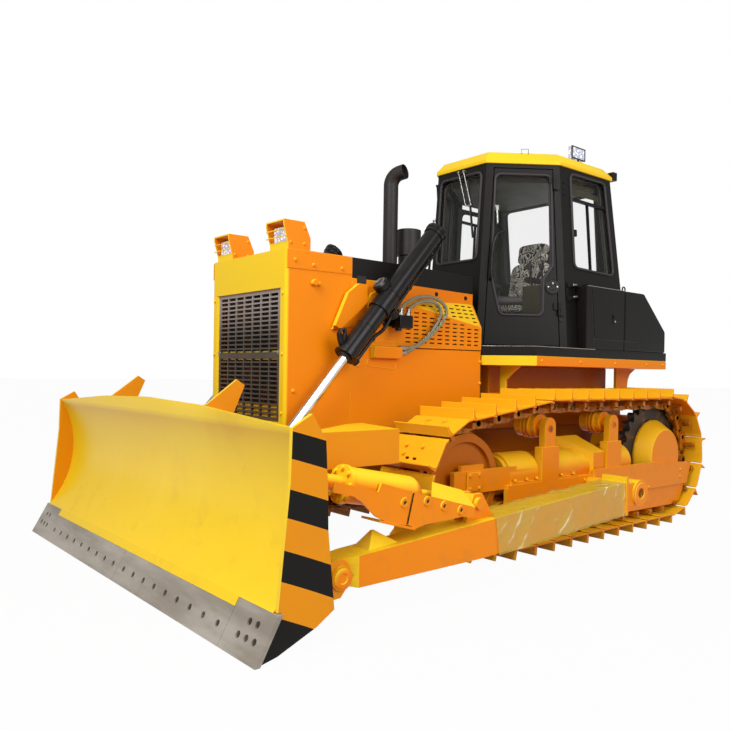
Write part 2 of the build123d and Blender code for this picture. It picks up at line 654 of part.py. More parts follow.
def make_deck():
    """Fender frame: the deck's edge, its front bulkhead and the struts that carry its ends."""
    frame = flat_plate(deck_plan(), DECK_Z0, DECK_MID)
    bulkhead = [(HOOD_HALF + GAP, DECK_Z0 + 1), (DECK_HALF - 140, DECK_Z0 + 1), (DECK_HALF - 220, DECK_Z0 - 55),
                (HOOD_HALF + 70, DECK_Z0 - 115), (HOOD_HALF + 70, PLATE_Z0 + 160),
                (HOOD_HALF + GAP, PLATE_Z0 + 160)]
    front = front_plate(bulkhead, DECK_CORNER_X, DECK_CORNER_X + 20)
    strut = side_plate([(-2100, DECK_Z0 + 1), (-1780, DECK_Z0 + 1), (-1780, 1120), (-1960, 1120),
                        (-1975, 1220), (-2010, 1275)], 560, 590)
    return frame.fuse(front, right(front), strut, right(strut))


def make_platform():
    """Flat floor under the cab, on the fender frame."""
    return flat_plate(deck_plan(), DECK_MID, DECK_Z1)


def make_fuel_tank():
    body = side_plate([(TANK_FRONT, DECK_Z1), (TANK_FRONT, BOX_TOP), (TANK_KNEE_X, BOX_TOP),
                       (TANK_REAR, TANK_KNEE_Z), (TANK_REAR, DECK_Z1)], -DECK_HALF, DECK_HALF)
    return body - cab_solid()


def make_side_box():
    body = box(TANK_FRONT + 2, BOX_FRONT, 650, DECK_HALF, DECK_Z1, BOX_TOP)
    return body - cab_solid()


# Chassis

def make_main_frame():
    """Two box rails joined by cross members, under the engine and the gear case."""
    rails = [box(-2050, 1640, y, y + 110, 560, 820) for y in (-360, 250)]
    cross = [box(x, x + 120, -251, 251, 600, 800) for x in (-2000, -1300, -600, 200, 900, 1500)]
    return rails[0].fuse(rails[1], *cross)


def make_rear_case():
    """Steering and gear case, wide below and narrow under the deck."""
    lower = box(-2050, -150, -470, 470, GUARD_Z0, 1100)
    upper = box(-1900, -250, -400, 400, 1100, DECK_Z0)
    shelf = box(-1960, -1780, -591, 591, 1060, 1120)
    return lower + upper + shelf


def make_cross_bars():
    """Equalizer bar and pivot shaft that carry the track frames."""
    front = box(-60, 60, -FRAME_Y_IN, FRAME_Y_IN, 430, 560)
    rear = across(-1080, 500, 60, -FRAME_Y_IN, FRAME_Y_IN)
    return group([front, rear])


def make_drawbar():
    plate = box(-2200, -2050, -300, 300, 560, 1000)
    tongue = flat_plate([(-2200, -110), (-2200, 110), (-2570, 75), (-2570, -75)], 610, 690)
    eye = bar((-2500, 0, 600), (-2500, 0, 700), 28)
    return plate + tongue - eye


# Blade

def blade_arc(back):
    """Hollow of the blade in the side view, as an arc from head to foot."""
    (x0, z0), (x1, z1) = BLADE_TOP, BLADE_FOOT
    chord = hypot(x1 - x0, z1 - z0)
    nx, nz = (z0 - z1) / chord, (x0 - x1) / chord
    mid = ((x0 + x1) / 2 - nx * BLADE_SAG, (z0 + z1) / 2 - nz * BLADE_SAG)
    return (x0 - back, z0), (mid[0] - back, mid[1]), (x1 - back, z1)


def blade_front_space():
    """All that lies ahead of the blade's face, so that its ribs stop at it."""
    front = blade_arc(0)
    (x0, z0), (x1, z1) = front[0], front[2]
    tip_x, far_x, high = edge_x(-GAP), BLADE_TIP[0] + 300, CROWN[0][1] + 100
    edges = [ThreePointArc(*front), Line((x1, z1), (tip_x, -GAP)), Line((tip_x, -GAP), (far_x, -GAP)),
             Line((far_x, -GAP), (far_x, high)), Line((far_x, high), (x0, high)), Line((x0, high), (x0, z0))]
    return slab(SIDE, make_face(Wire(edges)), -BLADE_HALF, BLADE_HALF)


def make_moldboard():
    """Curved sheet of the blade with its crowned head."""
    front, rear = blade_arc(0), blade_arc(BLADE_T)
    rise = CROWN[0][1] - BLADE_TOP[1]
    edges = [ThreePointArc(*front), Line(front[2], rear[2]), ThreePointArc(*rear[::-1]),
             Line(rear[0], (rear[0][0], rear[0][1] + rise)),
             Line((rear[0][0], rear[0][1] + rise), (front[0][0], front[0][1] + rise)),
             Line((front[0][0], front[0][1] + rise), front[0])]
    sheet = slab(SIDE, make_face(Wire(edges)), -BLADE_HALF, BLADE_HALF)
    (_, z0), (y1, z1), (y2, z2) = CROWN
    x, high = BLADE_TOP[0], z0 + 100
    above = front_plate([(-y2 - 9, z2), (-y1, z1), (0, z0), (y1, z1), (y2 + 9, z2), (y2 + 9, high),
                         (-y2 - 9, high)], x - 2 * BLADE_T, x + BLADE_T)
    return sheet - above


def make_blade():
    """Moldboard on its toe, two cross beams and ribs, with ears for the cylinders and the arms."""
    toe = side_plate([(2430, 206), (2520, 40), (2490, 40), (2371, 230), (2437, 230), (2455, 206)],
                     -BLADE_HALF, BLADE_HALF)
    lip = edge_strip(EDGE_GAP - split_y(), split_y() - EDGE_GAP, BLADE_FOOT[1] + 4, EDGE_H + EDGE_GAP)
    beam_top = side_plate([(2358, 860), (2358, 985), (2250, 985), (2212, 900), (2300, 840)],
                          -BLADE_HALF, BLADE_HALF)
    beam_low = side_plate([(2330, 330), (2400, 215), (2495, 60), (2300, 130), (2190, 200), (2190, 330)],
                          -BLADE_HALF, BLADE_HALF)
    end = side_plate([(2388, 1007), (2285, 1067), (2210, 949), (2194, 678), (2191, 536), (2172, 370),
                      (2151, 166), (2248, 105), (2450, 20), (2540, 0), (2430, 206), (2448, 208), (2394, 771)],
                     BLADE_HALF, BLADE_HALF + END_T)
    fin = side_plate([(2380, 1060), (2327, 1068), (2150, 1204), (2102, 1172), (2163, 1030), (2240, 940),
                      (2350, 900)], FIN_Y - FIN_T / 2, FIN_Y + FIN_T / 2)
    ears = [side_plate([(2320, 400), (2320, 700), (2100, 640), (1985, 610), (1965, 555), (1985, 500),
                        (2100, 440)], y, y + 26) for y in (LIFT_Y - 60, LIFT_Y + 34)]
    lugs = [make_blade_lug(ARM_Y1), make_blade_lug(ARM_Y0 - LUG_T)]
    x, z = ARM_FRONT
    lugs.append(across(x, z, 58, ARM_Y1 + LUG_T, ARM_Y1 + LUG_T + 14))
    x, z = TILT_FRONT
    for y in (TILT_Y - 80, TILT_Y + 45 + SEAT):
        lugs.append(side_plate([(2340, z - 120), (2340, z + 120), (x, z + 75), (x - 60, z), (x, z - 75)],
                               y, y + 34))
    ribs = [beam_top, beam_low, fin, *ears, *lugs, make_blade_box()]
    ribs += [right(rib) for rib in (fin, *ears, *lugs)]
    space = blade_front_space()
    return make_moldboard().fuse(toe, lip, end, right(end), *[rib - space for rib in ribs])


def split_y():
    """Side distance of the seam between the middle edges and the end bits."""
    return TIP_HALF - END_BIT_W - TIP_OUT


def edge_x(z):
    """Face of the cutting edge at a height."""
    (x1, top), (x0, low) = BLADE_FOOT, BLADE_TIP
    return x0 + (x1 - x0) * (z - low) / (top - low)


def edge_strip(y0, y1, z1, z0=0.0):
    """Plate on the blade's lower face between two sides and two heights."""
    return side_plate([(edge_x(z0), z0), (edge_x(z1), z1), (edge_x(z1) - EDGE_T, z1),
                       (edge_x(z0) - EDGE_T, z0)], y0, y1)


def make_cutting_edges():
    middle = edge_strip(EDGE_GAP, split_y(), EDGE_H)
    end = edge_strip(split_y() + EDGE_GAP, TIP_HALF, END_BIT_H)
    return group([middle, right(middle), end, right(end)])


# Push arms and tilt gear

def make_push_arm():
    """Box beam from the blade's pin back to its end plate, and the trunnion cap behind that."""
    x0, z0 = PIVOT
    end_x = x0 + 199
    beam = side_plate([(end_x, 286), (end_x, 507), (1030, 412), (1922, 354), (2010, 340), (2010, 212),
                       (1922, 196), (1030, 203)], ARM_Y0, ARM_Y1)
    beam -= flat_plate([(1922, ARM_Y1 + 1), (2100, ARM_Y1 + 1), (2100, ARM_Y1 - 70), (2010, ARM_Y1 - 70)],
                       100, 500)
    plate = box(end_x - 24, end_x, ARM_Y0 - 8, ARM_Y1 + 8, 274, 546)
    neck = box(x0, end_x - 23, ARM_Y0 + 15, ARM_Y1 - 15, z0 - 80, z0 + 80)
    head = across(ARM_FRONT[0], ARM_FRONT[1], 85, ARM_Y0, ARM_Y1)
    cap = across(x0, z0, ARM_CAP_R, ARM_Y0, ARM_Y1)
    peak = loft([Plane(origin=(1719, TILT_Y + 20, 345)) * Rectangle(256, 150),
                 Plane(origin=(1757, TILT_Y + 10, 441)) * Rectangle(16, 16)], ruled=True)
    x, z = TILT_REAR
    lugs = [side_plate([(x - 150, 400), (x - 38, z + 54), (x + 32, z + 54), (x + 100, 400)], y, y + TILT_LUG_T)
            for y in (TILT_Y - TILT_EYE_HALF - 1 - TILT_LUG_T, TILT_Y + TILT_EYE_HALF + 1)]
    pin = across(x, z, 34, TILT_Y + TILT_EYE_HALF + TILT_LUG_T, TILT_Y + TILT_EYE_HALF + TILT_LUG_T + 26)
    socket = across(x0, z0, TRUNNION_R + SEAT, ARM_Y0 - 1, ARM_Y0 + TRUNNION_DEPTH)
    return beam.fuse(head, plate, neck, cap, peak, *lugs, pin) - socket


def make_blade_lug(y):
    """Ear on the blade's back that takes the push arm's front pin."""
    x, z = ARM_FRONT
    return side_plate([(2240, 170), (2240, 330), (x, z + 95), (x - 80, z), (x, z - 95)], y, y + LUG_T)


def tilt_line(side_y):
    """Ends of the tilt cylinder, or of the brace on the other side: blade first."""
    return (TILT_FRONT[0], side_y, TILT_FRONT[1]), (TILT_REAR[0], side_y, TILT_REAR[1])


def between(start, end, share):
    """Point on the way from start to end."""
    return tuple(a + (b - a) * share for a, b in zip(start, end))


def make_tilt_cylinder():
    """Tilt cylinder: bolted flange towards the blade, domed end towards the arm, and its rod."""
    start, end = tilt_line(TILT_Y)
    near, flange, far = (between(start, end, share) for share in (0.17, 0.19, 0.55))
    eye = across(end[0], end[2], TILT_EYE_R, TILT_Y - TILT_EYE_HALF, TILT_Y + TILT_EYE_HALF)
    foot = across(start[0], start[2], 70, TILT_Y - 45, TILT_Y + 45)
    dome = Pos(*far) * Sphere(TILT_R)
    barrel = bar(near, far, TILT_R) + dome + bar(near, flange, TILT_FLANGE_R)
    return barrel + bar(start, end, TILT_ROD_R) + bar(start, near, TILT_ROD_R + 10) + eye + foot


def make_tilt_guard():
    """Two-piece cover beside the tilt cylinder: a side plate ahead and a channel over its rod behind."""
    y1 = TILT_Y + TILT_FLANGE_R + SEAT
    front = side_plate([(2063, 723), (2078, 679), (1954, 647), (1912, 620), (1818, 533), (1743, 495),
                        (1616, 464), (1573, 633), (1782, 698), (1803, 656), (1914, 693)], y1, y1 + 12)
    base = side_plate([(1790, 512), (1792, 500), (1560, 432), (1556, 444)], y1 - 140, y1 + 22)
    profile = [(1566, 633), (1609, 468), (1546, 437), (1479, 450), (1196, 459), (1109, 441), (1094, 500)]
    side = side_plate(profile, y1, y1 + 12)
    roof = loft([Plane(origin=(0, y1 + 12, 0), x_dir=(1, 0, 0), z_dir=(0, -1, 0)) * outline(
                     [(1094, 500), (1440, 597), (1440, 585), (1094, 488)]),
                 Plane(origin=(0, TILT_Y, 0), x_dir=(1, 0, 0), z_dir=(0, -1, 0)) * outline(
                     [(1090, 584), (1330, 652), (1330, 640), (1090, 572)])], ruled=True)
    return group([front + base, side + roof])


def make_brace():
    start, end = tilt_line(-TILT_Y)
    eye = across(end[0], end[2], TILT_EYE_R, -TILT_Y - TILT_EYE_HALF, -TILT_Y + TILT_EYE_HALF)
    foot = across(start[0], start[2], 70, -TILT_Y - 45, -TILT_Y + 45)
    body = bar(between(start, end, 0.10), between(start, end, 0.90), 60)
    return body + bar(start, end, TILT_ROD_R) + eye + foot


def make_blade_box():
    """Box beam that stiffens the blade's back beside the left end plate, skewed towards the middle."""
    outer = ARM_Y0 - 70
    return flat_plate([(1454, outer), (1351, outer - 480), (1500, outer - 440), (1821, outer - 213),
                       (2310, outer - 60), (2310, outer)], 750, 942)


# Lift cylinders

def lift_point(reach):
    """Point on the left cylinder's axis, this far from its trunnion towards the eye."""
    (x0, z0), (x1, z1) = LIFT_T, LIFT_EYE
    length = hypot(x1 - x0, z1 - z0)
    return (x0 + (x1 - x0) * reach / length, LIFT_Y, z0 + (z1 - z0) * reach / length)


LIFT_LENGTH = hypot(LIFT_EYE[0] - LIFT_T[0], LIFT_EYE[1] - LIFT_T[1])


def make_barrel():
    tube = bar(lift_point(-BARREL_UP), lift_point(BARREL_DOWN), BARREL_R)
    collar = bar(lift_point(-70), lift_point(70), BARREL_R + 8)
    head = bar(lift_point(BARREL_DOWN - 50), lift_point(BARREL_DOWN), BARREL_R + 8)
    end = bar(lift_point(-BARREL_UP), lift_point(-BARREL_UP + 30), BARREL_R + 6)
    pin = across(LIFT_T[0], LIFT_T[1], 42, HOOD_HALF + 15, LIFT_Y)
    bore = bar(lift_point(-BARREL_UP + BORE_END), lift_point(BARREL_DOWN - GLAND_L), BORE_R)
    gland = bar(lift_point(BARREL_DOWN - GLAND_L - 1), lift_point(BARREL_DOWN + 1), ROD_R + SEAT)
    return tube + collar + head + end + pin - bore - gland


def make_rod():
    """Rod with its piston in the barrel and its eye at the blade."""
    rod = bar(lift_point(PISTON_AT), lift_point(LIFT_LENGTH), ROD_R)
    piston = bar(lift_point(PISTON_AT), lift_point(PISTON_AT + PISTON_L), BORE_R - SEAT)
    eye = across(LIFT_EYE[0], LIFT_EYE[1], 58, LIFT_Y - 27, LIFT_Y + 27)
    hole = across(LIFT_EYE[0], LIFT_EYE[1], 30, LIFT_Y - 28, LIFT_Y + 28)
    return rod + piston + eye - hole


def make_yoke():
    """Tapered bracket on the guard's side, with the boss that carries the cylinder's trunnion."""
    x, z = LIFT_T
    foot = side_plate([(x - 95, z - 120), (x + 100, z - 150), (x + 338, z - 190), (x + 200, z + 60),
                       (x + 149, z + 122), (x - 60, z + 110)], HOOD_HALF, HOOD_HALF + 15)
    rib = side_plate([(x + 75, z + 2), (x + 297, z - 189), (x + 338, z - 166), (x + 237, z + 54),
                      (x + 149, z + 122), (x + 82, z + 117)], HOOD_HALF + 14, HOOD_HALF + 50)
    boss = across(x, z, 75, HOOD_HALF, LIFT_Y - BARREL_R - 16)
    hole = across(x, z, 42 + SEAT, HOOD_HALF + 5, LIFT_Y)
    return foot + rib + boss - hole


def make_manifold():
    """Block on the hood's side where the cylinder's hoses end."""
    return box(785, 1035, HOOD_HALF, HOOD_HALF + 50, 1352, 1432)


def make_work_lamp():
    """Lamp on its stand at the roof's left edge."""
    stand = box(-1150, -1060, 575, 600, CAB_TOP + ROOF_H, CAB_TOP + ROOF_H + 20)
    return stand + box(-1195, -1015, 570, 612, CAB_TOP + ROOF_H + 18, CAB_TOP + ROOF_H + 122)


track_left = make_track(TRACK_Y)
frame_left = make_track_frame() + make_pivot_stub()
idler = make_idler()
sprocket = make_sprocket()
inner_drive, outer_drive = make_final_drive()
rollers = [make_roller(x) for x in roller_xs()]
carriers = [make_carrier(x) for x in CARRIER_XS]
arm = make_push_arm()
barrel = make_barrel()
rod = make_rod()
door = make_door()
door_glass = make_door_glass()

NODES = {
    "main_frame": make_main_frame(),
    "rear_case": make_rear_case(),
    "cross_bars": make_cross_bars(),
    "drawbar": make_drawbar(),
    "engine_block": box(150, 1100, -300, 300, GUARD_Z0, 1700),
    "radiator_guard": make_radiator_guard(),
    "radiator_core": box(HOOD_FRONT - 160, HOOD_FRONT - 60, -400, 400, GUARD_Z0 + 50, 1780),
    "grille": make_grille(),
    "hood_top": make_hood_top(),
    "side_plates": pair(make_side_plates()),
    "vent_panels": pair(make_vent_panel()),
    "exhaust_pipe": make_exhaust(),
    "air_precleaner": make_precleaner(),
    "lamp_guards": pair(make_lamp_guard()),
    "headlamps": pair(make_lamp()),
    "cab_shell": make_cab_shell(),
    "cab_roof": make_roof(),
    "cab_glass": make_cab_glass(),
    "seat": make_seat(),
    "consoles": make_consoles(),
    "deck": make_deck(),
    "platform": make_platform(),
    "fuel_tank": make_fuel_tank(),
    "side_boxes": pair(make_side_box()),
    "work_lamp": make_work_lamp(),
    "track_frame_left": frame_left,
    "track_frame_right": right(frame_left),
    "track_left": track_left,
    "track_right": right(track_left),
    "idlers": pair(idler),
    "sprockets": pair(sprocket),
    "final_drives": group([inner_drive, outer_drive, right(inner_drive), right(outer_drive)]),
    "bottom_rollers": group([r for s in rollers for r in (s, right(s))]),
    "carrier_rollers": group([r for s in carriers for r in (s, right(s))]),
    "lift_yokes": pair(make_yoke()),
    "manifold": make_manifold(),
    "door_left": door,
    "door_right": right(door),
    "door_glass_left": door_glass,
    "door_glass_right": right(door_glass),
    "blade": make_blade(),
    "cutting_edges": make_cutting_edges(),
    "push_arm_left": arm,
    "push_arm_right": right(arm),
    "tilt_cylinder": make_tilt_cylinder(),
    "tilt_guard": make_tilt_guard(),
    "brace_right": make_brace(),
    "lift_barrel_left": barrel,
    "lift_barrel_right": right(barrel),
    "lift_rod_left": rod,
    "lift_rod_right": right(rod),
}

foot, head = hinge_line()
print("door hinge", [round(v, 2) for v in foot], [round(v, 5) for v in (head - foot).normalized()])
os.makedirs("parts", exist_ok=True)
for name, solid in NODES.items():
    export_step(solid, f"parts/{name}.step")
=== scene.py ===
"""Crawler bulldozer: finish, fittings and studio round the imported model.

Metres. +X points forward to the blade, +Y to the machine's left and +Z up, with the ground at z = 0.
"""
import json
from collections import namedtuple
from math import acos, atan2, cos, hypot, pi, radians, sin, sqrt

import bpy
from bpy.props import FloatProperty, FloatVectorProperty, IntProperty, PointerProperty
from mathutils import Matrix, Vector

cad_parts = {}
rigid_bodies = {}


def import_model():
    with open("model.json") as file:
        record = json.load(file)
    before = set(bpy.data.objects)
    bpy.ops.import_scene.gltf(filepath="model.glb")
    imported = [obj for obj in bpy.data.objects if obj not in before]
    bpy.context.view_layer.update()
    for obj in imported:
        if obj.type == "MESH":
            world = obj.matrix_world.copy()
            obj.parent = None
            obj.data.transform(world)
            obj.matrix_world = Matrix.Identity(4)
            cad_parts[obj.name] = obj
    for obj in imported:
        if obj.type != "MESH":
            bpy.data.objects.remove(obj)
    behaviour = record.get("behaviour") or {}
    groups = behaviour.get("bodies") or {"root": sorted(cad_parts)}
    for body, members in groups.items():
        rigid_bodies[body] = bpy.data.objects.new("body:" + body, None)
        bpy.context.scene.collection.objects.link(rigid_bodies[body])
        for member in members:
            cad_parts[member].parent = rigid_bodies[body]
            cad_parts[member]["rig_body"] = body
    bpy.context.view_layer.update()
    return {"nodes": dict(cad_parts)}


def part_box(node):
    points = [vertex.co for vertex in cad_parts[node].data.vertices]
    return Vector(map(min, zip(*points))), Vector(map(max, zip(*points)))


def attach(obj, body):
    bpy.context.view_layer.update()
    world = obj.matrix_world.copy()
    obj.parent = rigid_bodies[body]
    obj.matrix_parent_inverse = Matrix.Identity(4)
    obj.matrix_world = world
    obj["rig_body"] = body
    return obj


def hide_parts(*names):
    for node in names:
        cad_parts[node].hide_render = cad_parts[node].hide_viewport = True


bl_info = {
    "name": "Crawler bulldozer",
    "version": (1, 0, 0),
    "blender": (4, 5, 0),
    "location": "3D View > Sidebar > Dozer",
    "description": "Finishes and fittings of a crawler bulldozer on its packed frame",
    "category": "Object",
}

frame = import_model()

# Main sizes, in metres
TRACK_Y = 0.940
SHOE_W, SHOE_L, SHOE_T, SHOE_PITCH, SHOE_START = 0.510, 0.188, 0.012, 0.2032, 0.0226
GROUSER_H, GROUSER_T = 0.065, 0.020
LINK_OUT, LINK_IN, RAIL_NEAR, RAIL_FAR = 0.057, 0.045, 0.052, 0.100
IDLER, SPROCKET = (0.657, 0.545, 0.360), (-1.743, 0.575, 0.440)
ROLLER_PIN_R, ROLLER_XS = 0.145, (-1.235, 0.284)
CARRIER_PIN_R, CARRIER_XS, CARRIER_PIN_Z = 0.130, (-0.143, -0.953), 1.016
PIN_Z = 0.134
CAB_FOOT = ((-0.205, 0.293), (-0.798, 0.761), (-1.652, 0.775))
CAB_HEAD = ((-0.308, 0.286), (-0.782, 0.660), (-1.493, 0.672))
CAB_Z0, CAB_Z1 = 1.476, 2.984
DOOR_WINDOW = [(0.150, 1.425), (0.612, 1.425), (0.630, 0.675), (0.554, 0.564), (0.550, 0.266),
               (0.194, 0.266), (0.123, 0.580)]
SIDE_WINDOW = [(0.121, 1.472), (0.605, 1.472), (0.689, 0.662), (0.131, 0.680)]
FRONT_WINDOW = [(0.055, 1.450), (0.531, 1.450), (0.531, 0.720), (0.055, 0.720)]
REAR_WINDOW = [(0.230, 1.420), (1.320, 1.420), (1.320, 0.700), (0.230, 0.700)]
WINDOW_R = 0.055
PIVOT = (-0.629, 0.413)
ARM_OUT = 1.560
PIN_OUT = ARM_OUT + 0.049
TILT_Y = 1.440
LIFT_Y, LIFT_T, LIFT_EYE = 0.620, (1.022, 1.720), (2.032, 0.555)
SIDES = {"left": 1, "right": -1}
HOOD_HALF = 0.490
ROLLERS, ROLLER_R = 6, 0.118
FRAME_OUT, DRIVE_OUT, CARRIER_OUT = 1.120, 1.1188, 1.1142
GUARD_OUT = 1.5526
WALL_T, LINING_NEAR, LINING_FAR = 0.058, -0.066, -0.076
PIPE_R, PIPE_UNDER = 0.0125, -0.086


def srgb(red, green, blue):
    """A colour as it reads on screen, 0 to 255, in the linear values that a shader takes."""
    def line(value):
        value /= 255
        return value / 12.92 if value <= 0.04045 else ((value + 0.055) / 1.055) ** 2.4
    return (line(red), line(green), line(blue), 1.0)


def colour(name, description, default):
    """A colour that the panel offers."""
    return FloatVectorProperty(name=name, description=description, subtype="COLOR", size=4, min=0, max=1,
                               default=default)


class DozerColours(bpy.types.PropertyGroup):
    """Colours of the paints and bare materials."""
    # Lit and shaded copies of the blade and body paints: the split by facing is painted light and shade
    blade_lit: colour("Blade yellow", "Paint of blade and roof where it faces up or forward",
                        srgb(243, 202, 30))
    blade_shaded: colour("Blade side", "The same paint on faces that look sideways", srgb(224, 134, 8))
    body_lit: colour("Body yellow", "Paint of body and tracks where it faces up or forward",
                       srgb(244, 206, 36))
    body_shaded: colour("Body side", "The same paint on faces that look sideways", srgb(236, 126, 4))
    stripe: colour("Stripe black", "Black warning bands on the blade's ends", srgb(14, 12, 9))
    black: colour("Cab black", "Satin black of cab, tank and hood band", srgb(19, 17, 15))
    cylinder: colour("Cylinder black", "Gloss black of the lift barrels", srgb(25, 22, 22))
    soot: colour("Exhaust black", "Heat paint of stack and pre-cleaner", srgb(34, 30, 28))
    steel: colour("Edge steel", "Bare steel of the cutting edges", srgb(176, 168, 158))
    chrome: colour("Rod chrome", "Hard chrome of the cylinder rods", srgb(226, 226, 230))
    rubber: colour("Rubber", "Window seals, mats and wiper blades", srgb(38, 36, 36))
    lining: colour("Cab lining", "Moulded lining inside the cab", srgb(72, 68, 40))
    hose: colour("Hose guard", "Spiral guard of the hydraulic hoses", srgb(176, 172, 140))
    seal: colour("Seal", "Weathered rubber round the windows", srgb(58, 52, 54))
    # Lit and shaded copies of the track paint: painted light and shade
    track_lit: colour("Track gold", "Paint of the undercarriage where it faces up or forward",
                        srgb(244, 184, 28))
    track_shaded: colour("Track side", "The same paint on faces that look sideways", srgb(228, 124, 5))
    chain: colour("Chain", "Painted chain links, in their own shade", srgb(190, 110, 14))
    film: colour("Film", "Stretch film wound on the push arm", srgb(206, 182, 66))


class DozerSizes(bpy.types.PropertyGroup):
    """Sizes of the fittings that a user may change."""
    edge: FloatProperty(name="Plate edge", description="Rounding of plate edges", default=0.004, min=0.0005,
                        unit="LENGTH")
    shoe_count: IntProperty(name="Track shoes", description="Shoes on one track", default=36, min=20)
    seal: FloatProperty(name="Seal", description="Half width of the window rubbers", default=0.011,
                        min=0.002, unit="LENGTH")
    bolt: FloatProperty(name="Shoe bolt", description="Radius of a shoe bolt's head", default=0.014,
                        min=0.004, unit="LENGTH")


def colours():
    """The colours that the panel has now."""
    return bpy.context.scene.dozer_colours


def sizes():
    """The sizes that the panel has now."""
    return bpy.context.scene.dozer_sizes


# Shader maths

class Field:
    """One output in a material, with arithmetic that adds Math nodes."""

    def __init__(self, finish, socket):
        self.finish, self.socket = finish, socket

    def math(self, operation, *others, clamp=False):
        node = self.finish.node("Math", {"operation": operation, "use_clamp": clamp},
                                dict(enumerate((self, *others))))
        return node

    def __add__(self, other):
        return self.math("ADD", other)

    __radd__ = __add__

    def __mul__(self, other):
        return self.math("MULTIPLY", other)

    __rmul__ = __mul__

    def __sub__(self, other):
        return self.math("SUBTRACT", other)

    def __rsub__(self, other):
        return self.finish.node("Math", {"operation": "SUBTRACT"}, {0: other, 1: self})

    def __abs__(self):
        return self.math("ABSOLUTE")

    def above(self, other):
        return self.math("GREATER_THAN", other)

    def top(self, other):
        return self.math("MAXIMUM", other)

    def rise(self, low, high):
        """0 below low, 1 above high, and smooth between."""
        return self.finish.node("MapRange", {"interpolation_type": "SMOOTHSTEP"},
                                {"Value": self, "From Min": low, "From Max": high})


class Finish:
    """A material with one Principled shader, and short ways to build its patterns."""

    def __init__(self, name, **constants):
        self.material = bpy.data.materials.new(name)
        self.material.use_nodes = True
        self.tree = self.material.node_tree
        self.tree.nodes.clear()
        out = self.tree.nodes.new("ShaderNodeOutputMaterial")
        self.shader = self.tree.nodes.new("ShaderNodeBsdfPrincipled")
        self.tree.links.new(self.shader.outputs[0], out.inputs["Surface"])
        for key, value in constants.items():
            self.shader.inputs[key.replace("_", " ")].default_value = value
        self.place = self.node("TexCoord", output="Object")
        self.facing = self.node("TexCoord", output="Normal")

    def node(self, kind, settings=None, inputs=None, output=0):
        """A node of one kind, with its settings and what its sockets take."""
        made = self.tree.nodes.new("ShaderNode" + kind)
        for key, value in (settings or {}).items():
            if key == "stops":
                self.stops(made.color_ramp, value)
            else:
                setattr(made, key, value)
        for key, value in (inputs or {}).items():
            self.feed(made.inputs[key], value)
        return Field(self, made.outputs[output])

    def feed(self, socket, value):
        if isinstance(value, Field):
            self.tree.links.new(value.socket, socket)
        else:
            socket.default_value = value

    @staticmethod
    def stops(ramp, stops):
        while len(ramp.elements) < len(stops):
            ramp.elements.new(1.0)
        for element, (position, value) in zip(ramp.elements, stops):
            element.position, element.color = position, value

    def give(self, **sockets):
        """Feed the shader's own sockets."""
        for key, value in sockets.items():
            self.feed(self.shader.inputs[key.replace("_", " ")], value)

    def parts(self, vector):
        return [self.node("SeparateXYZ", inputs={0: vector}, output=i) for i in range(3)]

    def noise(self, scale, detail=3.0, vector=None, rough=0.5):
        return self.node("TexNoise", inputs={"Vector": vector or self.place, "Scale": scale,
                                             "Detail": detail, "Roughness": rough})

    def stretched(self, factors):
        """Object coordinates stretched along the axes, for drawn or brushed patterns."""
        return self.node("Mapping", inputs={"Vector": self.place, "Scale": factors})

    def mix(self, first, second, factor, blend="MIX"):
        return self.node("Mix", {"data_type": "RGBA", "blend_type": blend},
                         {0: factor, 6: first, 7: second}, output=2)

    def bump(self, height, strength, distance):
        self.give(Normal=self.node("Bump", inputs={"Height": height, "Strength": strength,
                                                   "Distance": distance}))


def paint(name, light, side, gloss=0.36, sheen_and_drift=0.10, level=1.0):
    """Sprayed enamel: yellower where it faces up or forward and more orange elsewhere, as painted light and
    shade, with slow soft patches of painted highlight on the lit faces and of darker tone at random, peel
    and a little dust.
    """
    made = Finish(name, Specular_IOR_Level=0.16, Coat_Weight=0.03, Coat_Roughness=0.15)
    across, _, up = made.parts(made.facing)
    # Painted light and shade: faces that look forward or up take the light colour, the rest the side colour
    lit = (across * 0.95 + up * 1.05 + 0.12).rise(0.0, 0.75)
    cloud = made.noise(0.9, 2.0)
    base = made.mix(side, light, lit)
    # Painted highlight: soft pale patches on the faces that look forward or up; the next line darkens the
    # tone at random
    pale = made.mix(base, (0.98, 0.70, 0.05, 1.0), (cloud.rise(0.50, 0.80) * lit) * sheen_and_drift)
    deep = made.mix(pale, (0.42, 0.13, 0.01, 1.0), made.noise(2.3, 4.0).rise(0.52, 0.95) * (sheen_and_drift * 0.9))
    _, _, height = made.parts(made.place)
    dust = made.noise(7.0, 6.0, rough=0.65).rise(0.50, 0.78)
    dust = dust * (1 - height.rise(0.15, 1.15)) * (0.30 * level)
    made.give(Base_Color=made.mix(deep, (0.30, 0.17, 0.06, 1.0), dust),
              Roughness=(made.noise(5.0, 4.0) * 0.12 + (gloss - 0.06)) + dust * 0.5)
    peel = made.noise(260.0, 2.0) * 0.25 + made.noise(3.1, 2.0) * 0.9
    made.bump(peel, 0.10, 0.004)
    return made


def blade_paint():
    """Blade enamel with the black warning bands on its two end plates."""
    c = colours()
    # A large share of painted highlight patches on the blade's face
    made = paint("blade_paint", c.blade_lit, c.blade_shaded, gloss=0.30, sheen_and_drift=0.35, level=0.5)
    base = made.shader.inputs["Base Color"].links[0].from_socket
    along, across, height = made.parts(made.place)
    _, side, _ = made.parts(made.facing)
    line = height - (along - 2.40) * (0.50 - height * 0.23)
    bands = line.above(0.876) * (1 - line.above(0.997))
    for low, high in ((0.613, 0.741), (0.328, 0.468), (-0.2, 0.166)):
        bands = bands + line.above(low) * (1 - line.above(high))
    outside = abs(across).above(1.655) * abs(side).above(0.5)
    made.give(Base_Color=made.mix(Field(made, base), c.stripe, bands * outside))
    return made


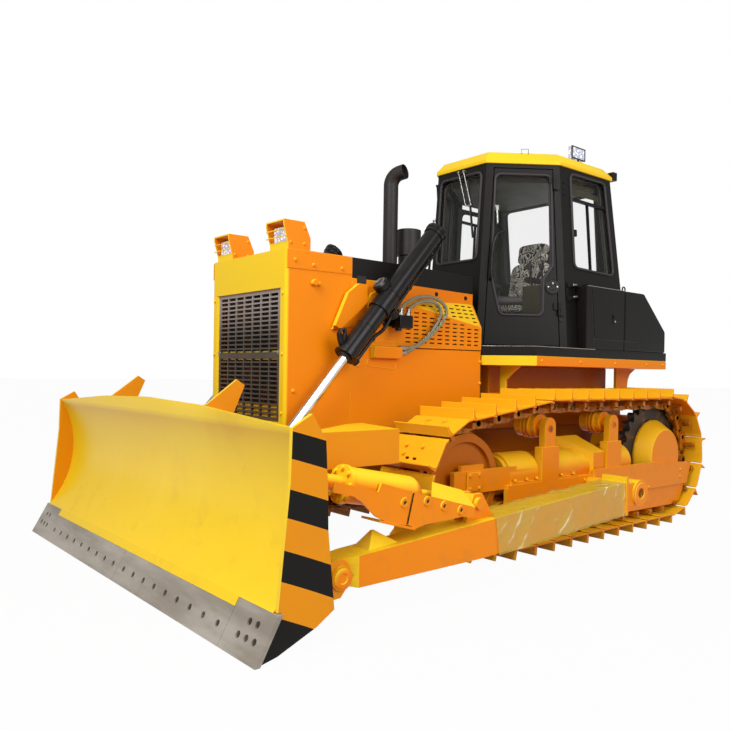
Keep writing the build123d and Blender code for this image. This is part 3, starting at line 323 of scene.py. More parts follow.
def black_paint(name, tint, gloss, metal=0.0):
    """Black satin enamel with faint dust on what faces up."""
    made = Finish(name, Specular_IOR_Level=0.22, Metallic=metal)
    _, _, up = made.parts(made.facing)
    dust = made.noise(5.0, 6.0, rough=0.6).rise(0.40, 0.80) * up.rise(0.3, 0.9)
    made.give(Base_Color=made.mix(tint, (0.10, 0.09, 0.075, 1.0), dust * 0.22),
              Roughness=made.noise(9.0, 4.0) * 0.14 + (gloss - 0.07) + dust * 0.15)
    made.bump(made.noise(240.0, 2.0) * 0.3 + made.noise(2.6, 2.0) * 0.7, 0.08, 0.004)
    return made


def rolled_steel():
    """Rolled and ground plate: grey with long stains and fine scratches."""
    made = Finish("rolled_steel", Metallic=0.10, Specular_IOR_Level=0.35)
    stain = made.noise(1.7, 6.0, made.stretched((1.0, 0.35, 2.2)), rough=0.62)
    grain = made.noise(90.0, 3.0, made.stretched((1.0, 0.05, 1.0)))
    tone = made.mix(srgb(138, 128, 116), colours().steel, stain.rise(0.35, 0.60))
    warm = made.mix(tone, srgb(140, 118, 96), made.noise(4.0, 5.0).rise(0.60, 0.80) * 0.5)
    made.give(Base_Color=warm, Roughness=grain * 0.18 + stain * 0.12 + 0.32)
    made.bump(grain, 0.12, 0.0006)
    return made


def chrome():
    made = Finish("rod_chrome", Metallic=1.0)
    made.give(Base_Color=made.mix(colours().chrome, srgb(190, 190, 196), made.noise(30.0, 2.0)),
              Roughness=made.noise(50.0, 2.0) * 0.05 + 0.06)
    return made


def bright_metal():
    """Plated fittings, bolts and latches."""
    made = Finish("plated_steel", Metallic=0.9)
    made.give(Base_Color=made.mix(srgb(196, 194, 190), srgb(140, 136, 130), made.noise(40.0, 3.0)),
              Roughness=made.noise(60.0, 2.0) * 0.15 + 0.20)
    return made


def iron():
    """Dull dark iron of pins, shafts and bolts left unpainted."""
    made = Finish("dark_iron", Metallic=0.6)
    rust = made.noise(12.0, 5.0).rise(0.5, 0.75)
    made.give(Base_Color=made.mix(srgb(66, 58, 50), srgb(112, 84, 52), rust),
              Roughness=made.noise(25.0, 4.0) * 0.25 + 0.40)
    made.bump(made.noise(120.0, 3.0), 0.2, 0.001)
    return made


def soot():
    """Heat paint of the stack, with rust coming through."""
    made = Finish("exhaust_paint", Specular_IOR_Level=0.35)
    rust = made.noise(8.0, 6.0, rough=0.65).rise(0.55, 0.80)
    made.give(Base_Color=made.mix(colours().soot, srgb(78, 58, 48), rust * 0.45),
              Roughness=made.noise(20.0, 4.0) * 0.20 + 0.38)
    made.bump(made.noise(150.0, 3.0), 0.12, 0.001)
    return made


def rubber():
    made = Finish("rubber", Specular_IOR_Level=0.35)
    made.give(Base_Color=made.mix(colours().rubber, srgb(70, 66, 64), made.noise(18.0, 4.0).rise(0.5, 0.9)),
              Roughness=made.noise(60.0, 3.0) * 0.15 + 0.48)
    made.bump(made.noise(400.0, 2.0), 0.15, 0.0005)
    return made


def pane(name, tint, alpha):
    """Window glass that lets most of the light straight through."""
    made = Finish(name, Alpha=alpha, Specular_IOR_Level=0.6)
    made.give(Base_Color=made.mix(tint, srgb(150, 150, 150), made.noise(1.4, 2.0).rise(0.4, 0.8) * 0.3),
              Roughness=made.noise(2.0, 2.0) * 0.04 + 0.02)
    return made


def lamp_lens():
    made = Finish("lamp_glass", Emission_Strength=0.35)
    dots = made.node("TexVoronoi", inputs={"Vector": made.place, "Scale": 55.0}, output=0)
    glow = made.mix(srgb(250, 250, 255), srgb(170, 176, 190), dots.rise(0.25, 0.55))
    made.give(Base_Color=glow, Emission_Color=glow, Roughness=dots * 0.1 + 0.12)
    return made


def radiator_core():
    """Fins of the core, with brown patches of painted light where light comes through the grille, and
    painted shade in the gaps between the fins.
    """
    made = Finish("core_fins", Specular_IOR_Level=0.3)
    _, across, height = made.parts(made.place)
    fins = (height * 900.0).math("SINE")
    # Painted light: brown patches where light would come through the grille
    tone = made.mix(srgb(30, 24, 16), srgb(120, 78, 26), made.noise(3.0, 3.0).rise(0.45, 0.7))
    # Painted shade: near-black bands in the gaps between the fins
    made.give(Base_Color=made.mix(tone, srgb(18, 15, 12), fins.rise(0.2, 0.9)),
              Roughness=0.6 + across * 0.05)
    made.bump(fins, 0.4, 0.002)
    return made


def lining():
    """Moulded olive plastic with a fine leather grain."""
    made = Finish("cab_lining", Specular_IOR_Level=0.3)
    grain = made.node("TexVoronoi", {"feature": "DISTANCE_TO_EDGE"}, {"Vector": made.place, "Scale": 260.0})
    made.give(Base_Color=made.mix(colours().lining, srgb(36, 34, 24), made.noise(6.0, 4.0)),
              Roughness=made.noise(12.0, 3.0) * 0.15 + 0.5)
    made.bump(grain.rise(0.0, 0.1), 0.25, 0.0006)
    return made


def seat_cover():
    """Printed cover: an uneven dark and pale leaf pattern on a coarse weave."""
    made = Finish("seat_cover", Specular_IOR_Level=0.2, Sheen_Weight=0.25)
    warp = made.noise(9.0, 3.0)
    bent = made.node("VectorMath", {"operation": "ADD"},
                     {0: made.place, 1: made.node("TexNoise", inputs={"Vector": made.place, "Scale": 7.0},
                                                  output=1)})
    leaf = made.node("TexWave", {"wave_type": "BANDS"},
                     {"Vector": bent, "Scale": 5.0, "Distortion": 7.0, "Detail": 2.5}, output=1)
    tone = made.mix(srgb(16, 15, 14), srgb(205, 198, 184), leaf.rise(0.46, 0.58))
    made.give(Base_Color=made.mix(tone, srgb(84, 78, 62), warp.rise(0.55, 0.7)),
              Roughness=warp * 0.1 + 0.75)
    along, across, height = made.parts(made.place)
    weave = ((across * 2600.0).math("SINE") * (height * 2600.0 + along * 900.0).math("SINE"))
    made.bump(weave, 0.3, 0.0008)
    return made


def hose_guard():
    """Spiral guard on the hoses, with its windings as fine ridges."""
    made = Finish("hose_guard", Specular_IOR_Level=0.4)
    along, across, height = made.parts(made.place)
    turns = ((along + height * 0.8 + across * 0.4) * 900.0).math("SINE")
    made.give(Base_Color=made.mix(srgb(84, 80, 52), colours().hose, turns.rise(-0.3, 0.5)),
              Roughness=turns * 0.06 + 0.42)
    made.bump(turns, 0.5, 0.002)
    return made


def stretch_film():
    """Thin clear film, yellowed by what is under it, with taut creases that catch the light, painted as
    pale highlights.
    """
    made = Finish("stretch_film", Specular_IOR_Level=0.6, Coat_Weight=0.3, Coat_Roughness=0.1)
    cloud = made.noise(3.5, 3.0)
    folds = made.node("TexWave", {"wave_type": "BANDS", "bands_direction": "DIAGONAL"},
                      {"Vector": made.stretched((1.1, 1.0, 1.0)), "Scale": 4.2, "Distortion": 7.0,
                       "Detail": 1.5, "Detail Scale": 0.7}, output=1)
    # Painted highlights: pale lines along the tops of the creases, where the film is also more opaque
    crease_highlight = folds.rise(0.90, 1.0) * cloud.rise(0.46, 0.60)
    made.give(Base_Color=made.mix(colours().film, srgb(250, 240, 205), crease_highlight * 0.8),
              Alpha=crease_highlight * 0.20 + cloud.rise(0.35, 0.65) * 0.14 + 0.46, Roughness=cloud * 0.3 + 0.08)
    made.bump(folds * 0.5 + cloud, 0.6, 0.010)
    return made


def grille_paint():
    made = Finish("grille_paint", Specular_IOR_Level=0.35)
    _, _, height = made.parts(made.place)
    dull = made.mix(srgb(52, 46, 42), srgb(88, 74, 60), made.noise(5.0, 4.0))
    # Painted light: paler towards the grille's top
    made.give(Base_Color=made.mix(dull, srgb(150, 140, 134), height.rise(1.42, 1.74)),
              Roughness=made.noise(30.0, 3.0) * 0.2 + 0.40)
    return made


def chain_paint():
    """Chain links: the track's paint, browner, with grease in its hollows."""
    made = Finish("chain_paint", Specular_IOR_Level=0.3)
    grime = made.noise(14.0, 6.0, rough=0.65).rise(0.42, 0.66)
    made.give(Base_Color=made.mix(colours().chain, srgb(62, 36, 14), grime * 0.8),
              Roughness=grime * 0.25 + 0.36)
    made.bump(made.noise(70.0, 4.0), 0.2, 0.002)
    return made


def seal_rubber():
    made = Finish("seal_rubber", Specular_IOR_Level=0.3)
    made.give(Base_Color=made.mix(colours().seal, srgb(58, 53, 56), made.noise(9.0, 4.0).rise(0.4, 0.7)),
              Roughness=made.noise(50.0, 3.0) * 0.15 + 0.45)
    made.bump(made.noise(300.0, 2.0), 0.1, 0.0005)
    return made


def seam_shade():
    """Painted shadow: the dark gap between two sheets."""
    made = Finish("seam_shade", Specular_IOR_Level=0.1)
    made.give(Base_Color=made.mix(srgb(60, 30, 10), srgb(24, 14, 8), made.noise(30.0, 2.0)),
              Roughness=made.noise(40.0, 2.0) * 0.1 + 0.7)
    return made


def finish(name):
    """The material of a name, made the first time it is asked for."""
    found = bpy.data.materials.get(name)
    return found or RECIPES[name]().material


RECIPES = {
    "blade_paint": blade_paint,
    # These paints take a lit colour where they face up or forward and a shaded one elsewhere: painted light
    # and shade
    "roof_paint": lambda: paint("roof_paint", colours().blade_lit, srgb(248, 196, 42), level=0.0),
    "body_paint": lambda: paint("body_paint", colours().body_lit, colours().body_shaded),
    "track_paint": lambda: paint("track_paint", colours().track_lit, colours().track_shaded),
    # Darker copy of the body paint for parts that lie in shade: painted shade
    "shade_paint": lambda: paint("shade_paint", srgb(214, 138, 22), srgb(178, 92, 5)),
    "guard_paint": lambda: paint("guard_paint", colours().blade_lit, colours().body_shaded),
    "cab_black": lambda: black_paint("cab_black", colours().black, 0.42),
    "gloss_black": lambda: black_paint("gloss_black", colours().cylinder, 0.26),
    "rolled_steel": rolled_steel, "rod_chrome": chrome, "plated_steel": bright_metal, "dark_iron": iron,
    "exhaust_paint": soot, "rubber": rubber, "lamp_glass": lamp_lens, "core_fins": radiator_core,
    "cab_lining": lining, "seat_cover": seat_cover, "hose_guard": hose_guard,
    "stretch_film": stretch_film, "grille_paint": grille_paint, "chain_paint": chain_paint,
    "seal_rubber": seal_rubber, "seam_shade": seam_shade,
    "front_glass": lambda: pane("front_glass", srgb(176, 168, 172), 0.30),
    "side_glass": lambda: pane("side_glass", srgb(120, 124, 118), 0.045),
}

# The record's slot that each finish belongs to
SLOT_OF = {
    "blade_paint": "paint_yellow", "roof_paint": "paint_yellow", "body_paint": "paint_orange",
    "shade_paint": "paint_orange", "guard_paint": "paint_orange", "seam_shade": "paint_orange",
    "track_paint": "track_orange", "chain_paint": "track_orange", "cab_black": "paint_black",
    "gloss_black": "paint_black", "seal_rubber": "paint_black", "rubber": "paint_black",
    "plated_steel": "chrome_rod", "rod_chrome": "chrome_rod", "dark_iron": "iron",
    "rolled_steel": "edge_steel", "exhaust_paint": "exhaust_black", "lamp_glass": "lamp_lens",
    "core_fins": "core_black", "grille_paint": "grille_grey", "cab_lining": "cab_plastic",
    "hose_guard": "cab_plastic", "stretch_film": "cab_plastic", "seat_cover": "seat_cloth",
    "side_glass": "window_glass",
}


# Modelling

Face = namedtuple("Face", "origin across up out")


def face(origin, across, up):
    """A flat working face: where it starts, its two directions, and the way out of it."""
    across, up = Vector(across).normalized(), Vector(up)
    out = across.cross(up).normalized()
    return Face(Vector(origin), across, out.cross(across), out)


def on(plane, a, b, out=0.0):
    """Point on a working face."""
    return plane.origin + plane.across * a + plane.up * b + plane.out * out


SIDE = Face(Vector(), Vector((1, 0, 0)), Vector((0, 0, 1)), Vector((0, 1, 0)))
TOP = Face(Vector(), Vector((1, 0, 0)), Vector((0, 1, 0)), Vector((0, 0, 1)))


def wall(foot, foot2, head):
    """Working face of a cab wall, from its front foot corner."""
    return face((*foot, CAB_Z0), Vector((*foot2, 0)) - Vector((*foot, 0)),
                Vector((*head, CAB_Z1)) - Vector((*foot, CAB_Z0)))


DOOR = wall(CAB_FOOT[0], CAB_FOOT[1], CAB_HEAD[0])
REAR_SIDE = wall(CAB_FOOT[1], CAB_FOOT[2], CAB_HEAD[1])
FRONT_WALL = wall((CAB_FOOT[0][0], -CAB_FOOT[0][1]), CAB_FOOT[0], (CAB_HEAD[0][0], -CAB_HEAD[0][1]))
REAR_WALL = wall(CAB_FOOT[2], (CAB_FOOT[2][0], -CAB_FOOT[2][1]), CAB_HEAD[2])


def pick(*pieces):
    """Select these pieces alone, the first of them active."""
    bpy.ops.object.select_all(action="DESELECT")
    for piece in pieces:
        piece.select_set(True)
    bpy.context.view_layer.objects.active = pieces[0]


def fresh(name):
    """The primitive that was just added, under its own name, with its place applied to its mesh."""
    piece = bpy.context.active_object
    piece.name = piece.data.name = name
    pick(piece)
    bpy.ops.object.transform_apply(location=True, rotation=True, scale=True)
    return piece


def worked(piece, kind, **settings):
    """Add one modifier, set it and apply it."""
    pick(piece)
    bpy.ops.object.modifier_add(type=kind)
    modifier = piece.modifiers[-1]
    for key, value in settings.items():
        setattr(modifier, key, value)
    bpy.ops.object.modifier_apply(modifier=modifier.name)
    return piece


def edit(piece, *steps):
    """Run edit mode operators on the whole mesh."""
    pick(piece)
    bpy.ops.object.mode_set(mode="EDIT")
    bpy.ops.mesh.select_all(action="SELECT")
    for step in steps:
        step()
    bpy.ops.object.mode_set(mode="OBJECT")
    return piece


def shade(piece, angle=38):
    """Smooth the round faces and keep the flat ones flat."""
    pick(piece)
    bpy.ops.object.shade_smooth_by_angle(angle=radians(angle))
    return worked(piece, "WEIGHTED_NORMAL", keep_sharp=True)


def soften(piece, width, segments=2, angle=32):
    """Round the sharp edges and shade the piece."""
    if width:
        worked(piece, "BEVEL", width=width, segments=segments, limit_method="ANGLE",
               angle_limit=radians(angle), harden_normals=False)
    return shade(piece)


def block(name, low, high, rounding=0.003):
    """Box between two corners, with rounded edges."""
    low, high = Vector(low), Vector(high)
    bpy.ops.mesh.primitive_cube_add(size=1, location=(low + high) / 2, scale=high - low)
    return soften(fresh(name), rounding)


def rod(name, start, end, radius, sides=32, rounding=0.0015):
    """Round bar between two points."""
    start, end = Vector(start), Vector(end)
    axis = end - start
    bpy.ops.mesh.primitive_cylinder_add(vertices=sides, radius=radius, depth=axis.length,
                                        location=(start + end) / 2,
                                        rotation=axis.to_track_quat("Z", "Y").to_euler())
    return soften(fresh(name), rounding, 1 if radius < 0.02 else 2)


def plate(name, plane, points, start, end, rounding=0.003):
    """Flat outline on a working face, extruded from start to end."""
    bpy.ops.mesh.primitive_circle_add(vertices=len(points), radius=1, fill_type="NGON")
    piece = bpy.context.active_object
    for vertex, (a, b) in zip(piece.data.vertices, points):
        vertex.co = on(plane, a, b, start)
    push = plane.out * (end - start)
    edit(piece,
         lambda: bpy.ops.mesh.extrude_region_move(TRANSFORM_OT_translate={"value": push}),
         lambda: bpy.ops.mesh.select_all(action="SELECT"),
         lambda: bpy.ops.mesh.normals_make_consistent(inside=False))
    return soften(fresh(name), rounding)


def angles(count):
    """Angles of a circle's evenly spaced points."""
    return [2 * pi * i / count for i in range(count)]


def turned(name, base, axis, profile, sides=40):
    """Round piece from a profile of (radius, height) pairs that starts and ends on its axis."""
    bpy.ops.mesh.primitive_circle_add(vertices=len(profile), radius=1, fill_type="NOTHING")
    piece = bpy.context.active_object
    for vertex, (radius, height) in zip(piece.data.vertices, profile):
        vertex.co = (radius, 0, height)
    closing = {0, len(profile) - 1}
    for edge in piece.data.edges:
        edge.select = set(edge.vertices) == closing
    pick(piece)
    bpy.ops.object.mode_set(mode="EDIT")
    bpy.ops.mesh.select_mode(type="EDGE")
    bpy.ops.mesh.delete(type="EDGE")
    bpy.ops.object.mode_set(mode="OBJECT")
    worked(piece, "SCREW", steps=sides, render_steps=sides, use_merge_vertices=True, merge_threshold=1e-5)
    edit(piece,
         lambda: bpy.ops.mesh.remove_doubles(threshold=1e-5),
         lambda: bpy.ops.mesh.dissolve_degenerate(threshold=1e-6),
         lambda: bpy.ops.mesh.normals_make_consistent(inside=False))
    turn = Vector(axis).to_track_quat("Z", "Y").to_matrix().to_4x4()
    piece.data.transform(Matrix.Translation(Vector(base)) @ turn)
    return shade(fresh(name), 30)


def curve(name, points, radius, closed=False, smooth=False, sides=8):
    """Round bar along a line of points, still a curve."""
    bpy.ops.curve.primitive_nurbs_path_add()
    piece = bpy.context.active_object
    piece.name = piece.data.name = name
    line = piece.data
    line.splines.clear()
    spline = line.splines.new("NURBS" if smooth else "POLY")
    spline.points.add(len(points) - 1)
    for point, place in zip(spline.points, points):
        point.co = (*place, 1.0)
    spline.use_cyclic_u = closed
    if smooth:
        spline.order_u = 3
        spline.use_endpoint_u = not closed
    line.dimensions, line.bevel_depth, line.bevel_resolution = "3D", radius, sides // 4
    line.use_fill_caps = not closed
    return piece


def wire(name, points, radius, closed=False, smooth=False, sides=8):
    """Round bar along a line of points, made a mesh."""
    pick(curve(name, points, radius, closed, smooth, sides))
    bpy.ops.object.convert(target="MESH")
    return shade(fresh(name), 50)


def rounded(points, radius, steps=5):
    """Closed outline with its corners as arcs."""
    made = []
    for i, point in enumerate(points):
        here = Vector(point)
        before, after = Vector(points[i - 1]) - here, Vector(points[(i + 1) % len(points)]) - here
        half = before.angle(after) / 2
        reach = min(radius / abs(sin(half) / cos(half)), before.length * 0.49, after.length * 0.49)
        start, end = here + before.normalized() * reach, here + after.normalized() * reach
        for step in range(steps + 1):
            t = step / steps
            made.append(tuple(start * (1 - t) ** 2 + here * 2 * t * (1 - t) + end * t ** 2))
    return made


def joined(name, pieces):
    """One piece from several."""
    if len(pieces) > 1:
        pick(*pieces)
        bpy.ops.object.join()
    piece = pieces[0]
    piece.name = piece.data.name = name
    return piece


def copies(piece, places):
    """Copies of a piece at other places, each with its own mesh. The first place takes the piece itself."""
    made = [piece]
    for place in places[1:]:
        twin = bpy.data.objects.new(piece.name, piece.data.copy())
        bpy.context.scene.collection.objects.link(twin)
        twin.data.transform(place)
        made.append(twin)
    piece.data.transform(places[0])
    return made


def mirrored(piece, name):
    """The same piece on the machine's other side."""
    twin = bpy.data.objects.new(name, piece.data.copy())
    bpy.context.scene.collection.objects.link(twin)
    twin.data.transform(Matrix.Scale(-1, 4, (0, 1, 0)))
    twin.data.flip_normals()
    return twin


def cut(piece, tool):
    """Take one piece's shape out of another."""
    worked(piece, "BOOLEAN", operation="DIFFERENCE", solver="EXACT", object=tool)
    bpy.data.objects.remove(tool)
    return piece


def place_on(piece, material, body="root", slot=None, replaces=()):
    """Give a finished piece its material and its body; its slot, by default the one of its finish, is
    worked out but not kept.
    """
    piece.data.materials.clear()
    piece.data.materials.append(finish(material))
    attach(piece, body)
    slot or SLOT_OF[material]
    if replaces:
        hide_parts(*replaces)
    return piece


BODY_OF = {node: item["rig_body"] for node, item in frame["nodes"].items()}
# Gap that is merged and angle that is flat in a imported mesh
MERGE, FLAT = 2e-5, radians(0.8)


def dressed(node, material, rounding=None, slot=None):
    """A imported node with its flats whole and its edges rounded, in its finish."""
    mesh = frame["nodes"][node].data.copy()
    piece = bpy.data.objects.new(node + "_finished", mesh)
    bpy.context.scene.collection.objects.link(piece)
    edit(piece,
         lambda: bpy.ops.mesh.customdata_custom_splitnormals_clear(),
         lambda: bpy.ops.mesh.remove_doubles(threshold=MERGE),
         lambda: bpy.ops.mesh.dissolve_limited(angle_limit=FLAT))
    soften(piece, sizes().edge if rounding is None else rounding)
    return place_on(piece, material, BODY_OF[node], slot, (node,))


# Node, finish, edge rounding in metres where it isn't the set one, and record's slot where it isn't the
# finish's own
DRESSED = [
    # The frame, rear case, engine and idlers take the darker copy of the body paint, as painted shade
    ("main_frame", "shade_paint", 0.006),
    ("rear_case", "shade_paint", 0.010),
    ("cross_bars", "body_paint", 0.006),
    ("drawbar", "body_paint", 0.006),
    ("engine_block", "shade_paint", 0.010, "iron"),
    ("radiator_guard", "guard_paint", 0.006),
    ("radiator_core", "core_fins", 0.003),
    ("grille", "grille_paint", 0.0),
    ("hood_top", "cab_black", 0.006),
    ("side_plates", "body_paint", 0.003),
    ("vent_panels", "body_paint", 0.003),
    ("exhaust_pipe", "exhaust_paint", 0.002),
    ("air_precleaner", "exhaust_paint", 0.006),
    ("lamp_guards", "body_paint", 0.003),
    ("headlamps", "lamp_glass"),
    ("cab_shell", "cab_black"),
    ("cab_roof", "roof_paint", 0.006),
    ("consoles", "cab_lining", 0.015),
    ("deck", "body_paint"),
    ("platform", "cab_black"),
    ("manifold", "body_paint", 0.005),
    ("fuel_tank", "cab_black", 0.014),
    ("side_boxes", "cab_black", 0.010),
    ("work_lamp", "lamp_glass"),
    ("track_frame_left", "track_paint", 0.005),
    ("track_frame_right", "track_paint", 0.005),
    ("idlers", "shade_paint", 0.006, "track_orange"),
    ("sprockets", "dark_iron", 0.003),
    ("final_drives", "track_paint", 0.010),
    ("bottom_rollers", "track_paint"),
    ("carrier_rollers", "track_paint"),
    ("lift_yokes", "body_paint"),
    ("door_left", "cab_black"),
    ("door_right", "cab_black"),
    ("blade", "blade_paint", 0.003),
    ("push_arm_left", "body_paint", 0.008),
    ("push_arm_right", "body_paint", 0.008),
    ("tilt_cylinder", "body_paint", 0.006),
    ("tilt_guard", "body_paint", 0.003),
    ("brace_right", "body_paint", 0.006),
    ("lift_barrel_left", "gloss_black", 0.003),
    ("lift_barrel_right", "gloss_black", 0.003),
    ("lift_rod_left", "rod_chrome", 0.002),
    ("lift_rod_right", "rod_chrome", 0.002),
]


# Tracks

def track_circles():
    """Circles that the pin line goes round, from the front carrier to the rear and down: x, z, radius."""
    rear, front = ROLLER_XS
    return [*[(x, CARRIER_PIN_Z - CARRIER_PIN_R, CARRIER_PIN_R) for x in CARRIER_XS], SPROCKET,
            (rear, PIN_Z + ROLLER_PIN_R, ROLLER_PIN_R), (front, PIN_Z + ROLLER_PIN_R, ROLLER_PIN_R), IDLER]


def run_between(first, second):
    """Straight run between two circles: the angle of its outward normal, and its length."""
    (x1, z1, r1), (x2, z2, r2) = first, second
    span = hypot(x2 - x1, z2 - z1)
    return atan2(z2 - z1, x2 - x1) - acos((r1 - r2) / span), sqrt(span ** 2 - (r1 - r2) ** 2)


def track_stretches():
    """Arcs of the pin line in order, each with the straight run after it."""
    circles = track_circles()
    made = []
    for i, (x, z, r) in enumerate(circles):
        before, _ = run_between(circles[i - 1], circles[i])
        after, run = run_between(circles[i], circles[(i + 1) % len(circles)])
        made.append((x, z, r, before, (after - before) % (2 * pi), run))
    return made


def track_place(distance, side_y):
    """Where a shoe stands, this far past the front carrier's top: x along the heading, z outwards."""
    stretches = track_stretches()
    x, z, r, first, turn, run = stretches[0]
    for x, z, r, first, turn, run in [(x, z, r, first + turn, 0, run), *stretches[1:],
                                      (x, z, r, first, turn, 0)]:
        angle = first + min(distance / r, turn)
        spare = distance - turn * r
        if spare <= run:
            spare = max(spare, 0.0)
            point = (x + r * cos(angle) - spare * sin(angle), side_y,
                     z + r * sin(angle) + spare * cos(angle))
            along, out = Vector((-sin(angle), 0, cos(angle))), Vector((cos(angle), 0, sin(angle)))
            turned_to = Matrix((along, out.cross(along), out)).transposed().to_4x4()
            return Matrix.Translation(point) @ turned_to
        distance = spare - run
    return track_place(distance, side_y)


def track_length():
    """Length of the pin line."""
    return sum(turn * r + run for _, _, r, _, turn, run in track_stretches())


def shoe():
    """Track shoe on its own axes: plate, grouser, relief slots and four bolts."""
    half, low, high = SHOE_L / 2, LINK_OUT - 0.001, LINK_OUT + SHOE_T
    tip, bolt = high + GROUSER_H, sizes().bolt
    profile = [(-half - 0.006, low + 0.006), (-half + 0.03, low), (half - 0.01, low),
               (half + 0.030, low - 0.012), (half + 0.036, low - 0.004), (half + 0.004, high),
               (-half + GROUSER_T + 0.012, high), (-half + GROUSER_T, high + 0.012),
               (-half + GROUSER_T - 0.005, tip), (-half + 0.004, tip), (-half - 0.002, high + 0.004)]
    piece = plate("shoe", SIDE, profile, -SHOE_W / 2, SHOE_W / 2, 0.0)
    slots = [plate("slot", TOP, rounded([(-0.040, y - 0.018), (-0.040, y + 0.018), (-0.024, y + 0.018),
                                         (-0.024, y - 0.018)], 0.007), 0.0, 0.2, 0.0)
             for y in (-0.035, 0.035)]
    cut(piece, joined("slots", slots))
    soften(piece, 0.0022, 1)
    bolts = []
    for x in (-0.005, 0.052):
        for y in (-0.076, 0.076):
            bolts.append(turned("bolt", (x, y, high - 0.001), (0, 0, 1),
                                [(0, 0), (bolt + 0.005, 0), (bolt + 0.005, 0.003), (bolt, 0.004),
                                 (bolt - 0.0005, 0.013), (bolt - 0.004, 0.016), (0, 0.016)], 12))
    return joined("shoe", [piece, *bolts])


def link(side):
    """Link of the chain on its own axes: outer half behind, inner half ahead, with boss and windows."""
    middle = (RAIL_NEAR + RAIL_FAR) / 2 * side
    step = (RAIL_FAR - RAIL_NEAR) / 2 * side
    reach = SHOE_PITCH / 2
    top, low = LINK_OUT - 0.0015, -LINK_IN
    rear = rounded([(-reach - 0.040, 0.030), (-reach - 0.030, -0.034), (-reach + 0.03, low + 0.006),
                    (0.012, low), (0.012, top), (-reach + 0.035, top),
                    (-reach - 0.012, top - 0.012)], 0.014, 3)
    front = rounded([(-0.012, low), (reach - 0.03, low + 0.006), (reach + 0.030, -0.034),
                     (reach + 0.040, 0.030), (reach + 0.012, top - 0.012), (reach - 0.035, top),
                     (-0.012, top)], 0.014, 3)
    outer = sorted((middle, middle + step))
    inner = sorted((middle - step, middle + step * 0.25))
    halves = [plate("rear", SIDE, rear, *outer, 0.0), plate("front", SIDE, front, *inner, 0.0)]
    windows = [plate("window", SIDE, rounded([(x - 0.020, -0.004), (x + 0.020, -0.004), (x + 0.016, 0.034),
                                              (x - 0.016, 0.034)], 0.008, 3), -0.2, 0.2, 0.0)
               for x in (-0.038, 0.042)]
    tool = joined("windows", windows)
    body = joined("link", halves)
    cut(body, tool)
    soften(body, 0.0025, 1)
    y = outer[1] if side > 0 else outer[0]
    boss = turned("boss", (-reach, y - 0.002 * side, 0), (0, side, 0),
                  [(0, 0), (0.036, 0), (0.036, 0.005), (0.030, 0.008), (0.021, 0.008), (0.021, 0.002),
                   (0, 0.002)], 20)
    return joined("link", [body, boss])


def bush():
    """Bush and pin that join two pairs of links."""
    return rod("bush", (SHOE_PITCH / 2, -RAIL_NEAR - 0.004, 0), (SHOE_PITCH / 2, RAIL_NEAR + 0.004, 0),
               0.032, 20)


def build_tracks():
    """Both chains with their shoes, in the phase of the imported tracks."""
    count = sizes().shoe_count
    for where, side in SIDES.items():
        parts = {"shoes": [shoe()], "chain": [link(1), link(-1), bush()]}
        for kind, models in parts.items():
            model = joined(kind, models)
            places = [track_place(SHOE_START + i * track_length() / count, side * TRACK_Y)
                      for i in range(count)]
            piece = joined(f"track_{kind}_{where}", copies(model, places))
            place_on(piece, "track_paint" if kind == "shoes" else "chain_paint",
                     replaces=(f"track_{where}",))


# Fittings

def repeated(name, spots, out, outline, sides):
    """One round piece, copied to each spot."""
    model = turned(name, (0, 0, 0), out, outline, sides)
    return joined(name, copies(model, [Matrix.Translation(Vector(spot)) for spot in spots]))


def studs(name, spots, out, radius=0.011, height=0.008, sides=12):
    """Bolt heads on their washers at each spot, all facing one way."""
    outline = [(0, -0.002), (radius * 1.35, -0.002), (radius * 1.35, height * 0.22),
               (radius, height * 0.28), (radius * 0.94, height * 0.9), (radius * 0.8, height), (0, height)]
    return repeated(name, spots, out, outline, sides)


def rings(name, spots, out, radius, hole, height=0.004):
    """Flat rings with a sunk middle."""
    outline = [(0, 0.0005), (hole, 0.0005), (hole, height), (radius, height), (radius * 1.1, 0), (0, 0)]
    return repeated(name, spots, out, outline, 20)


def bead(name, plane, points, radius, out=0.0, closed=True):
    """Round strip along points on a working face."""
    return wire(name, [on(plane, a, b, out) for a, b in points], radius, closed)


def strip(name, plane, start, end, width, low, high, rounding=0.0006):
    """Flat bar between two points on a working face."""
    (a0, b0), (a1, b1) = start, end
    length = hypot(a1 - a0, b1 - b0)
    da, db = (b1 - b0) / length * width / 2, -(a1 - a0) / length * width / 2
    points = [(a0 + da, b0 + db), (a1 + da, b1 + db), (a1 - da, b1 - db), (a0 - da, b0 - db)]
    return plate(name, plane, points, low, high, rounding)


def side_at(y):
    """Upright working face along the machine, this far to its left."""
    return Face(Vector((0, y, 0)), SIDE.across, SIDE.up, SIDE.out)


def both_sides(piece, material, body="root", slot=None):
    """Place a left piece and its twin on the right, each on its own side's body."""
    name = piece.name
    twin = mirrored(piece, name + "_right")
    piece.name = piece.data.name = name + "_left"
    other = body.replace("left", "right")
    return place_on(piece, material, body, slot), place_on(twin, material, other, slot)


# Windows

def frame_bead(name, plane, points, body="root", twin=True):
    """Rubber seal round a window, on the outside and inside of its wall."""
    ring = rounded(points, WINDOW_R, 6)
    seal = sizes().seal
    piece = joined(name, [bead(name, plane, ring, seal, 0.002), bead(name, plane, ring, seal, -WALL_T)])
    return (both_sides if twin else place_on)(piece, "seal_rubber", body)


